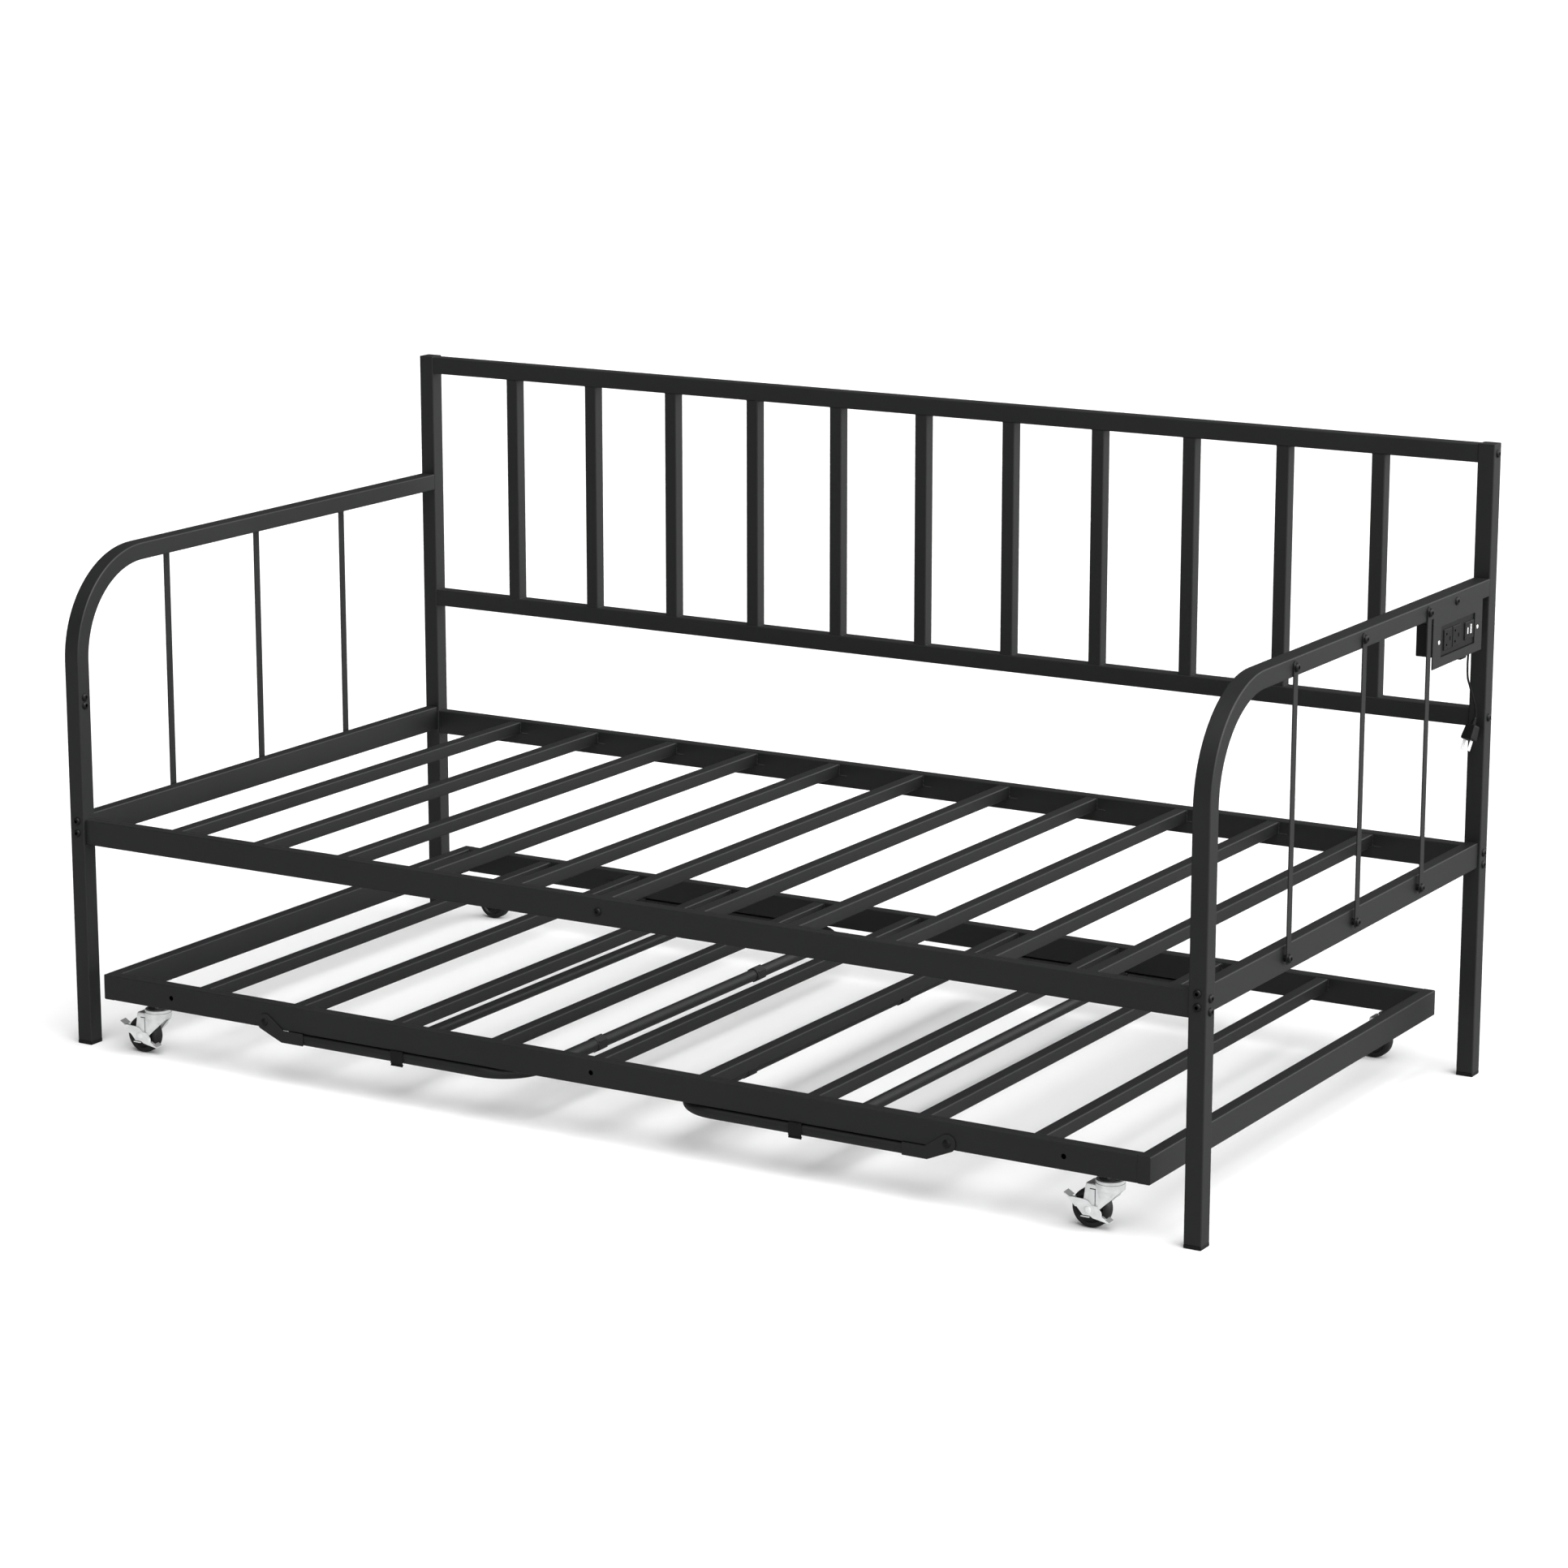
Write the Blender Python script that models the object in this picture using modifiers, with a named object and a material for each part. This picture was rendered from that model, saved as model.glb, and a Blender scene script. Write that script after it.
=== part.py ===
"""Steel daybed with a roll-out trundle on casters, as separate pieces. Metres, +Z up, X along the bed.

The row's origin is on the floor, under the middle of the whole bed. The daybed and the trundle are each
modelled about the daybed's own middle, which the empty named daybed puts in place.
"""

import math

import bmesh
import bpy
from mathutils import Matrix, Vector

# Driving dimensions of the daybed
CLEAR_LENGTH = 1.906
DEPTH = 0.982
POST = 0.027
REAR_POST_TOP = 0.981
ARM_TOP = 0.7786
ARM_BEND = 0.152
WALL = 0.0012
CORNER = 0.002
GAP = 0.0003

# Deck of the daybed
RAIL_WIDE, RAIL_HIGH = 0.020, 0.040
LONG_RAIL_TOP, LONG_RAIL_INSET = 0.364, 0.0053
SIDE_RAIL_TOP, SIDE_RAIL_INSET = 0.371, 0.004
SLAT = 0.020
SLAT_DROP = 0.0015
DECK_SLATS, DECK_SPACING = 11, 0.15845

# Back panel
TOP_RAIL_LOW, TOP_RAIL_HIGH = 0.9519, 0.9796
LOW_RAIL_LOW, LOW_RAIL_HIGH = 0.5497, 0.5774
BACK_RAIL_DEEP = 0.024
BALUSTER = 0.022

# Flat bars on the arms
BAR_WIDE, BAR_THICK = 0.0138, 0.002
BAR_LOW, BAR_HIGH = 0.343, 0.774
BAR_SPACING = 0.2324

# Feet
FOOT_HIGH, FOOT_PLUG = 0.006, 0.014

# Outlet on the right arm
PLATE_FRONT, PLATE_REAR, PLATE_LOW = 0.2525, 0.4384, 0.6755
SHEET = 0.002
PLATE_UPSTAND = 0.024
WINDOW = (0.128, 0.046)
UNIT = (0.0367, 0.132, 0.050)
OUTLET_Y, OUTLET_Z = 0.346, 0.713
SOCKET_YS, SOCKET_SIDE = (0.3098, 0.342), 0.030
USB_Y, USB_WIDE, USB_TALL = 0.391, 0.034, 0.029
FACE_RAISED = 0.0012
POCKET_DEEP = 0.004
SOCKET_POCKETS = ((-0.006, 0.0085, 0.004, 0.003), (-0.006, -0.0085, 0.004, 0.003), (0.006, 0, 0.0025, 0.006))
PLATE_HOLES, PLATE_HOLE_R = (0.275, 0.421), 0.0035
GLAND_X, GLAND_REAR, GLAND_LOW = 0.968, 0.402, 0.668
GLAND_WIDE, GLAND_DEEP = 0.008, 0.022

# Cord: the points that its middle goes through, from the gland to the plug
CORD_DIAMETER = 0.0032
CORD_POINTS = 18
CORD_BEND, CORD_EXIT_Z, CORD_STRAIGHT = 0.0128, 0.684, 0.003
CORD_ROUTE = (
    (0.9680, 0.4168, 0.6540),
    (0.9680, 0.4195, 0.6340),
    (0.9680, 0.4290, 0.6193),
    (0.9680, 0.4432, 0.5988),
    (0.9680, 0.4543, 0.5803),
    (0.9680, 0.4562, 0.5670),
)
PLUG_DIRECTION = (-0.12, -0.42, -0.90)
PLUG_BODY = (0.022, 0.016, 0.024)
PLUG_NECK_R, PLUG_NECK = 0.0036, 0.012
PRONG = (0.0015, 0.0063, 0.0155)
PRONG_APART = 0.0127

# Trundle
TRUNDLE_HALF = 0.9095
TRUNDLE_FRONT, TRUNDLE_REAR = -0.5076, 0.4768
TRUNDLE_LOW, TRUNDLE_TOP = 0.0862, 0.1261
TRUNDLE_SLATS, TRUNDLE_SPACING = 9, 0.1821

# Casters, each about its own stem
STEM_X, STEM_BEHIND_RAIL = 0.832, 0.0156
STEM_R, STEM_LOW = 0.005, 0.060
CASTER_PLATE = (0.034, 0.0032)
CASTER_PLATE_LOW = 0.098
WHEEL_R, WHEEL_WIDE, WHEEL_BORE = 0.0285, 0.0196, 0.0033
AXLE_BACK, AXLE_Z, AXLE_R = 0.027, 0.0288, 0.003
HEAD_R, HEAD_LOW, HEAD_HIGH, HEAD_BORE = 0.021, 0.0585, 0.074, 0.0054
FORK_INSIDE, FORK_THICK = 0.0112, 0.0018
RIVET_R, RIVET_THICK = 0.0055, 0.0016
PEDAL_THICK, PEDAL_GAP = 0.0018, 0.0005
PEDAL_TAB = 0.012

# Folding legs under the trundle
PIVOT_X, PIVOT_Z = 0.595, 0.095
LEG_R, LEG_Z = 0.0095, 0.0757
LEG_START, LEG_CROSSBAR, LEG_BEND = 0.555, 0.133, 0.069
LEG_STRETCHER = 0.384
BRACKET_THICK, BRACKET_R = 0.0025, 0.0135
BRACKET_END = 0.523
WELD = 0.0004
LEG_WALL = 0.0012

# Worked out from the above
POST_INSIDE = CLEAR_LENGTH / 2
POST_OUTSIDE = POST_INSIDE + POST
POST_BACK = DEPTH / 2
POST_Y = POST_BACK - POST / 2
POST_X = POST_INSIDE + POST / 2
BRACKET_FRONT = TRUNDLE_FRONT - GAP - BRACKET_THICK
STEM_YS = {
    "front": TRUNDLE_FRONT + RAIL_WIDE + STEM_BEHIND_RAIL,
    "rear": TRUNDLE_REAR + STEM_BEHIND_RAIL,
}
DAYBED_Y = -(BRACKET_FRONT + STEM_YS["rear"] + HEAD_R) / 2

BLACK_STEEL = ((0.022, 0.023, 0.024), 0.42, 0.35)
BLACK_PLASTIC = ((0.012, 0.012, 0.013), 0.5, 0.0)
BLACK_RUBBER = ((0.010, 0.010, 0.011), 0.6, 0.0)
ZINC = ((0.62, 0.63, 0.63), 0.32, 1.0)


def clear_scene():
    for old in list(bpy.data.objects):
        bpy.data.objects.remove(old)


def collection(name):
    made = bpy.data.collections.new(name)
    bpy.context.scene.collection.children.link(made)
    return made


def new_object(name, data, where, parent=None, at=(0, 0, 0)):
    made = bpy.data.objects.new(name, data)
    where.objects.link(made)
    made.parent = parent
    made.location = at
    return made


def finish(piece, look):
    colour, roughness, metallic = look
    paint = bpy.data.materials.new(piece.name + "_finish")
    paint.use_nodes = True
    shader = paint.node_tree.nodes["Principled BSDF"]
    shader.inputs["Base Color"].default_value = (*colour, 1)
    shader.inputs["Roughness"].default_value = roughness
    shader.inputs["Metallic"].default_value = metallic
    piece.data.materials.clear()
    piece.data.materials.append(paint)
    return piece


def mesh_from(bm, name):
    mesh = bpy.data.meshes.new(name)
    bm.to_mesh(mesh)
    bm.free()
    return mesh


def box_mesh(name, size, corner=0.0, along=None):
    """A box about its middle. With corner, its edges along the axis numbered along are rounded, or all of them."""
    bm = bmesh.new()
    bmesh.ops.create_cube(bm, size=1, matrix=Matrix.Diagonal((*size, 1)))
    if corner:
        round_edges(bm, corner, along)
    return mesh_from(bm, name)


def runs_along(edge, axis):
    way = (edge.verts[1].co - edge.verts[0].co).normalized()
    return axis is None or abs(way[axis]) > 0.99


def round_edges(bm, corner, along, segments=2):
    edges = [e for e in bm.edges if runs_along(e, along)]
    bmesh.ops.bevel(bm, geom=edges, offset=corner, segments=segments, profile=0.5, affect="EDGES", material=-1)


def add_wall(piece, thickness):
    wall = piece.modifiers.new("wall", "SOLIDIFY")
    wall.thickness = thickness
    wall.offset = -1
    wall.use_even_offset = True


def tube(name, size, axis, at, parent, closed_high_end=False):
    """A hollow rectangular steel tube about its middle, open at its ends."""
    bm = bmesh.new()
    bmesh.ops.create_cube(bm, size=1, matrix=Matrix.Diagonal((*size, 1)))
    round_edges(bm, CORNER, axis)
    ends = [f for f in bm.faces if abs(f.normal[axis]) > 0.99]
    opened = [f for f in ends if f.normal[axis] < 0 or not closed_high_end]
    bmesh.ops.delete(bm, geom=opened, context="FACES")
    piece = new_object(name, mesh_from(bm, name), PARTS, parent, at)
    add_wall(piece, WALL)
    return finish(piece, BLACK_STEEL)


def join_and_cut(piece, added=(), removed=()):
    """Welds the added solids to the piece and takes the removed ones out of it."""
    for operation, tools in (("UNION", added), ("DIFFERENCE", removed)):
        if not tools:
            continue
        group = bpy.data.collections.new(f"{piece.name}_{operation.lower()}")
        CUTTERS.children.link(group)
        for tool in tools:
            for holder in tool.users_collection:
                holder.objects.unlink(tool)
            group.objects.link(tool)
            tool.hide_render = True
            tool.display_type = "WIRE"
        cut = piece.modifiers.new(operation.lower(), "BOOLEAN")
        cut.operation = operation
        cut.operand_type = "COLLECTION"
        cut.collection = group
        cut.solver = "EXACT"
    return piece


def tool_box(size, parent, at, corner=0.0, along=None):
    return new_object("tool", box_mesh("tool", size, corner, along), CUTTERS, parent, at)


def cylinder_mesh(name, radius, length, axis, sides=20, far_radius=None):
    """A cylinder, or a cone, about its middle and along the axis numbered axis."""
    turn = {0: Matrix.Rotation(math.pi / 2, 4, "Y"), 1: Matrix.Rotation(-math.pi / 2, 4, "X"), 2: Matrix.Identity(4)}
    bm = bmesh.new()
    bmesh.ops.create_cone(
        bm,
        cap_ends=True,
        segments=sides,
        radius1=radius,
        radius2=radius if far_radius is None else far_radius,
        depth=length,
        matrix=turn[axis],
    )
    return mesh_from(bm, name)


def tool_cylinder(radius, length, axis, parent, at, sides=20):
    return new_object("tool", cylinder_mesh("tool", radius, length, axis, sides), CUTTERS, parent, at)


def arc(centre, radius, start, end, steps):
    """Points on an arc from start to end, in degrees, with both ends."""
    turns = [math.radians(start + (end - start) * i / steps) for i in range(steps + 1)]
    return [(centre[0] + radius * math.cos(t), centre[1] + radius * math.sin(t)) for t in turns]


def flat_mesh(name, outline, thickness):
    """A flat piece with that outline in X and Z, whose thickness is along Y and centred."""
    curve = bpy.data.curves.new(name, "CURVE")
    curve.dimensions = "2D"
    curve.fill_mode = "BOTH"
    curve.extrude = thickness / 2
    line = curve.splines.new("POLY")
    line.points.add(len(outline) - 1)
    for point, (x, z) in zip(line.points, outline):
        point.co = (x, z, 0, 1)
    line.use_cyclic_u = True
    drawn = new_object(name, curve, CUTTERS)
    mesh = bpy.data.meshes.new_from_object(drawn.evaluated_get(bpy.context.evaluated_depsgraph_get()))
    bpy.data.objects.remove(drawn)
    mesh.transform(Matrix.Rotation(math.pi / 2, 4, "X"))
    return welded(mesh)


def welded(mesh):
    bm = bmesh.new()
    bm.from_mesh(mesh)
    bmesh.ops.remove_doubles(bm, verts=bm.verts, dist=0.00001)
    bmesh.ops.recalc_face_normals(bm, faces=bm.faces)
    bm.to_mesh(mesh)
    bm.free()
    return mesh


def wire_mesh(name, points, radius, sides_resolution=2):
    """A solid round rod along the points, made a mesh."""
    curve = bpy.data.curves.new(name, "CURVE")
    curve.dimensions = "3D"
    curve.bevel_depth = radius
    curve.bevel_resolution = sides_resolution
    curve.use_fill_caps = True
    line = curve.splines.new("POLY")
    line.points.add(len(points) - 1)
    for point, place in zip(line.points, points):
        point.co = (*place, 1)
    drawn = new_object(name, curve, CUTTERS)
    mesh = bpy.data.meshes.new_from_object(drawn.evaluated_get(bpy.context.evaluated_depsgraph_get()))
    bpy.data.objects.remove(drawn)
    return welded(mesh)


# Daybed


def arm(side, sign):
    """The front leg and the arm rail, one tube bent between them."""
    bm = bmesh.new()
    bmesh.ops.create_grid(bm, x_segments=1, y_segments=1, size=POST / 2)
    bmesh.ops.bevel(
        bm, geom=bm.verts[:], offset=CORNER, segments=2, profile=0.5, affect="VERTICES", material=-1
    )
    bmesh.ops.delete(bm, geom=bm.faces[:], context="FACES_ONLY")
    low = FOOT_HIGH + GAP
    middle_z = ARM_TOP - POST / 2
    straight = middle_z - ARM_BEND - low
    drawn = extrude_edges(bm, bm.edges[:], (0, 0, straight))
    turned = bmesh.ops.spin(
        bm, geom=drawn, cent=(0, ARM_BEND, straight), axis=(1, 0, 0), angle=-math.pi / 2, steps=8
    )
    last = [g for g in turned["geom_last"] if isinstance(g, bmesh.types.BMEdge)]
    extrude_edges(bm, last, (0, 2 * POST_Y - POST / 2 - GAP - ARM_BEND, 0))
    bmesh.ops.remove_doubles(bm, verts=bm.verts, dist=0.00001)
    bmesh.ops.recalc_face_normals(bm, faces=bm.faces)
    piece = new_object(f"arm_{side}", mesh_from(bm, "arm"), PARTS, DAYBED, (sign * POST_X, -POST_Y, low))
    add_wall(piece, WALL)
    finish(piece, BLACK_STEEL)


def extrude_edges(bm, edges, move):
    made = bmesh.ops.extrude_edge_only(bm, edges=edges)["geom"]
    points = [g for g in made if isinstance(g, bmesh.types.BMVert)]
    bmesh.ops.translate(bm, verts=points, vec=move)
    return [g for g in made if isinstance(g, bmesh.types.BMEdge)]


def rear_post(side, sign):
    low = FOOT_HIGH + GAP
    size = (POST, POST, REAR_POST_TOP - low)
    at = (sign * POST_X, POST_Y, (REAR_POST_TOP + low) / 2)
    tube(f"rear_post_{side}", size, 2, at, DAYBED, closed_high_end=True)


def foot(name, x, y):
    """A plastic foot whose plug is pushed up into the post."""
    bm = bmesh.new()
    bmesh.ops.create_cube(bm, size=1, matrix=Matrix.Diagonal((POST, POST, FOOT_HIGH, 1)))
    top = [f for f in bm.faces if f.normal.z > 0.99]
    bmesh.ops.inset_region(bm, faces=top, thickness=WALL + GAP, use_even_offset=True)
    up = bmesh.ops.extrude_face_region(bm, geom=top)["geom"]
    bmesh.ops.delete(bm, geom=top, context="FACES")
    moved = [g for g in up if isinstance(g, bmesh.types.BMVert)]
    bmesh.ops.translate(bm, verts=moved, vec=(0, 0, FOOT_PLUG))
    finish(new_object(name, mesh_from(bm, name), PARTS, DAYBED, (x, y, FOOT_HIGH / 2)), BLACK_PLASTIC)


def side_rail(side, sign):
    length = 2 * (POST_Y - POST / 2 - GAP)
    x = sign * (POST_OUTSIDE - SIDE_RAIL_INSET - RAIL_WIDE / 2)
    at = (x, 0, SIDE_RAIL_TOP - RAIL_HIGH / 2)
    tube(f"side_rail_{side}", (RAIL_WIDE, length, RAIL_HIGH), 1, at, DAYBED)


def long_rail(end, sign):
    y = sign * (POST_BACK - LONG_RAIL_INSET - RAIL_WIDE / 2)
    size = (CLEAR_LENGTH - 2 * GAP, RAIL_WIDE, RAIL_HIGH)
    tube(f"deck_rail_{end}", size, 0, (0, y, LONG_RAIL_TOP - RAIL_HIGH / 2), DAYBED)


def deck_slats():
    length = 2 * (POST_BACK - LONG_RAIL_INSET - RAIL_WIDE - GAP)
    z = LONG_RAIL_TOP - SLAT_DROP - SLAT / 2
    for i in range(DECK_SLATS):
        x = (i - (DECK_SLATS - 1) / 2) * DECK_SPACING
        tube(f"deck_slat_{i + 1:02d}", (SLAT, length, SLAT), 1, (x, 0, z), DAYBED)


def back_panel():
    """The back's two rails and its balusters, welded into one hollow frame."""
    length = CLEAR_LENGTH - 2 * GAP
    tall = TOP_RAIL_HIGH - TOP_RAIL_LOW
    low_z, top_z = (LOW_RAIL_LOW + LOW_RAIL_HIGH) / 2, (TOP_RAIL_LOW + TOP_RAIL_HIGH) / 2
    rail = (length, BACK_RAIL_DEEP, tall)
    bore = (length + 4 * WALL, BACK_RAIL_DEEP - 2 * WALL, tall - 2 * WALL)
    panel = new_object("back_panel", box_mesh("back_panel", rail, CORNER, 0), PARTS, DAYBED, (0, POST_Y, top_z))
    added = [tool_box(rail, DAYBED, (0, POST_Y, low_z), CORNER, 0)]
    removed = [tool_box(bore, DAYBED, (0, POST_Y, z)) for z in (low_z, top_z)]
    between, middle = TOP_RAIL_LOW - LOW_RAIL_HIGH, (TOP_RAIL_LOW + LOW_RAIL_HIGH) / 2
    inside = BALUSTER - 2 * WALL
    for i in range(DECK_SLATS):
        at = ((i - (DECK_SLATS - 1) / 2) * DECK_SPACING, POST_Y, middle)
        added.append(tool_box((BALUSTER, BALUSTER, between + WALL), DAYBED, at))
        removed.append(tool_box((inside, inside, between + 4 * WALL), DAYBED, at))
    finish(join_and_cut(panel, added, removed), BLACK_STEEL)


def arm_bars(side, sign):
    """Three flat bars on the outside of each arm, with round ends."""
    half = BAR_WIDE / 2
    tall = (BAR_HIGH - BAR_LOW) / 2 - half
    outline = arc((0, tall), half, 0, 180, 8) + arc((0, -tall), half, 180, 360, 8)
    for i, place in enumerate(("front", "middle", "rear")):
        mesh = flat_mesh("bar", outline, BAR_THICK)
        mesh.transform(Matrix.Rotation(math.pi / 2, 4, "Z"))
        x = sign * (POST_OUTSIDE + GAP + BAR_THICK / 2)
        at = (x, (i - 1) * BAR_SPACING, (BAR_LOW + BAR_HIGH) / 2)
        finish(new_object(f"arm_bar_{side}_{place}", mesh, PARTS, DAYBED, at), BLACK_STEEL)


def outlet_plate():
    """A folded sheet: the face below the arm rail, a flange under the rail and an upstand behind it."""
    fold = ARM_TOP - POST - GAP
    back = POST_INSIDE - GAP
    corners = (
        (POST_OUTSIDE, PLATE_LOW),
        (POST_OUTSIDE, fold),
        (back, fold),
        (back, fold + PLATE_UPSTAND),
    )
    bm = bmesh.new()
    points = [bm.verts.new((x, PLATE_FRONT, z)) for x, z in corners]
    edges = [bm.edges.new(pair) for pair in zip(points, points[1:])]
    extrude_edges(bm, edges, (0, PLATE_REAR - PLATE_FRONT, 0))
    bmesh.ops.recalc_face_normals(bm, faces=bm.faces)
    if max(bm.faces, key=lambda f: f.calc_center_median().x).normal.x < 0:
        bmesh.ops.reverse_faces(bm, faces=bm.faces)
    plate = new_object("outlet_plate", mesh_from(bm, "outlet_plate"), PARTS, DAYBED)
    add_wall(plate, SHEET)
    x = POST_OUTSIDE - SHEET / 2
    removed = [tool_box((3 * SHEET, *WINDOW), DAYBED, (x, OUTLET_Y, OUTLET_Z))]
    for y in PLATE_HOLES:
        removed.append(tool_cylinder(PLATE_HOLE_R, 3 * SHEET, 0, DAYBED, (x, y, OUTLET_Z), 16))
    finish(join_and_cut(plate, (), removed), BLACK_STEEL)


def outlet_unit():
    """The outlet box behind the plate, with two mains sockets, a pair of charging ports and the cord's gland."""
    face = POST_OUTSIDE - SHEET - GAP
    at = (face - UNIT[0] / 2, OUTLET_Y, OUTLET_Z)
    unit = new_object("outlet_unit", box_mesh("outlet_unit", UNIT), PARTS, DAYBED, at)
    raised = 2 * FACE_RAISED
    added = [tool_box((raised, SOCKET_SIDE, SOCKET_SIDE), DAYBED, (face, y, OUTLET_Z)) for y in SOCKET_YS]
    added.append(tool_box((raised, USB_WIDE, USB_TALL), DAYBED, (face, USB_Y, OUTLET_Z)))
    tall = OUTLET_Z - UNIT[2] / 2 + WALL - GLAND_LOW
    gland_at = (GLAND_X, GLAND_REAR - GLAND_DEEP / 2, GLAND_LOW + tall / 2)
    added.append(tool_box((GLAND_WIDE, GLAND_DEEP, tall), DAYBED, gland_at))
    removed = []
    for y in SOCKET_YS:
        for dy, dz, wide, high in SOCKET_POCKETS:
            removed.append(tool_box((POCKET_DEEP, wide, high), DAYBED, (face, y + dy, OUTLET_Z + dz)))
    for dy in (-0.006, 0.004):
        removed.append(tool_box((POCKET_DEEP, 0.0038, 0.013), DAYBED, (face, USB_Y + dy, OUTLET_Z)))
    finish(join_and_cut(unit, added, removed), BLACK_PLASTIC)


def smooth_points(route, count):
    """Evenly spread points on a Catmull-Rom curve through the route."""
    ends = [Vector(p) for p in route]
    ends = [2 * ends[0] - ends[1], *ends, 2 * ends[-1] - ends[-2]]
    fine = []
    for a, b, c, d in zip(ends, ends[1:], ends[2:], ends[3:]):
        for step in range(20):
            t = step / 20
            fine.append(
                0.5 * (2 * b + (c - a) * t + (2 * a - 5 * b + 4 * c - d) * t**2 + (3 * b - a - 3 * c + d) * t**3)
            )
    fine.append(ends[-2])
    reach = [0.0]
    for a, b in zip(fine, fine[1:]):
        reach.append(reach[-1] + (b - a).length)
    picked = []
    for i in range(count):
        want = reach[-1] * i / (count - 1)
        k = max(j for j, r in enumerate(reach) if r <= want + 1e-12)
        k = min(k, len(fine) - 2)
        picked.append(fine[k].lerp(fine[k + 1], (want - reach[k]) / (reach[k + 1] - reach[k])))
    return picked


def cord_route():
    """Straight out of the gland, a quarter turn down, and then along the hanging route to the plug."""
    start = GLAND_REAR + GAP
    turn = arc((start + CORD_STRAIGHT, CORD_EXIT_Z - CORD_BEND), CORD_BEND, 90, 0, 4)
    return [(GLAND_X, y, z) for y, z in [(start, CORD_EXIT_Z), *turn]] + list(CORD_ROUTE)


def cord():
    curve = bpy.data.curves.new("cord", "CURVE")
    curve.dimensions = "3D"
    curve.bevel_depth = CORD_DIAMETER / 2
    curve.bevel_resolution = 2
    curve.use_fill_caps = True
    points = smooth_points(cord_route(), CORD_POINTS)
    line = curve.splines.new("POLY")
    line.points.add(len(points) - 1)
    for point, place in zip(line.points, points):
        point.co = (*place, 1)
    finish(new_object("cord", curve, PARTS, DAYBED), BLACK_PLASTIC)


def plug():
    """The plug on the cord's end: a tapered neck, the body and two blades, along the plug's own Z."""
    way = Vector(PLUG_DIRECTION).normalized()
    holder = bpy.data.objects.new("plug_place", None)
    PARTS.objects.link(holder)
    holder.parent = DAYBED
    holder.location = Vector(CORD_ROUTE[-1]) + way * (CORD_DIAMETER / 4 + GAP)
    holder.rotation_mode = "QUATERNION"
    holder.rotation_quaternion = way.to_track_quat("Z", "X")
    neck = cylinder_mesh("plug", CORD_DIAMETER / 2 + WALL / 2, PLUG_NECK, 2, 16, PLUG_NECK_R)
    piece = new_object("plug", neck, PARTS, holder, (0, 0, PLUG_NECK / 2))
    wide, thick, long = PLUG_BODY
    middle = PLUG_NECK + long / 2 - WELD
    added = [tool_box((thick, wide, long), holder, (0, 0, middle), CORNER)]
    for sign in (-1, 1):
        at = (0, sign * PRONG_APART / 2, middle + long / 2 + PRONG[2] / 2 - WELD)
        added.append(tool_box((PRONG[1], PRONG[0], PRONG[2]), holder, at))
    finish(join_and_cut(piece, added), BLACK_PLASTIC)


# Trundle


def trundle_long_rail(end, y, back):
    """A long rail with its two caster plates and their stems welded on. back is the rail's rear face."""
    size = (2 * (TRUNDLE_HALF - RAIL_WIDE - GAP), RAIL_WIDE, TRUNDLE_TOP - TRUNDLE_LOW)
    rail = tube(f"trundle_rail_{end}", size, 0, (0, y, (TRUNDLE_TOP + TRUNDLE_LOW) / 2), TRUNDLE)
    added = []
    wide, thick = CASTER_PLATE
    for sign in (-1, 1):
        x = sign * STEM_X
        deep = STEM_BEHIND_RAIL + wide / 2 + WELD
        plate_at = (x, back - WELD + deep / 2, CASTER_PLATE_LOW + thick / 2)
        added.append(tool_box((wide, deep, thick), TRUNDLE, plate_at))
        tall = CASTER_PLATE_LOW + thick + GAP - STEM_LOW
        added.append(tool_cylinder(STEM_R, tall, 2, TRUNDLE, (x, STEM_YS[end], STEM_LOW + tall / 2), 16))
    join_and_cut(rail, added)


def trundle_side_rail(side, sign):
    size = (RAIL_WIDE, TRUNDLE_REAR - TRUNDLE_FRONT, TRUNDLE_TOP - TRUNDLE_LOW)
    at = (
        sign * (TRUNDLE_HALF - RAIL_WIDE / 2),
        (TRUNDLE_REAR + TRUNDLE_FRONT) / 2,
        (TRUNDLE_TOP + TRUNDLE_LOW) / 2,
    )
    tube(f"trundle_side_rail_{side}", size, 1, at, TRUNDLE)


def trundle_slats():
    length = TRUNDLE_REAR - TRUNDLE_FRONT - 2 * (RAIL_WIDE + GAP)
    z = TRUNDLE_TOP - SLAT_DROP - SLAT / 2
    y = (TRUNDLE_REAR + TRUNDLE_FRONT) / 2
    for i in range(TRUNDLE_SLATS):
        x = (i - (TRUNDLE_SLATS - 1) / 2) * TRUNDLE_SPACING
        tube(f"trundle_slat_{i + 1}", (SLAT, length, SLAT), 1, (x, y, z), TRUNDLE)


def caster_places():
    """Each caster's name and stem, with whether it has a brake."""
    for end, y in STEM_YS.items():
        for side, sign in (("left", -1), ("right", 1)):
            yield f"{end}_{side}", (sign * STEM_X, y), end == "front"


def caster_empty(name, at, height):
    made = bpy.data.objects.new(name, None)
    PARTS.objects.link(made)
    made.parent = TRUNDLE
    made.location = (*at, height)
    return made


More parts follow.
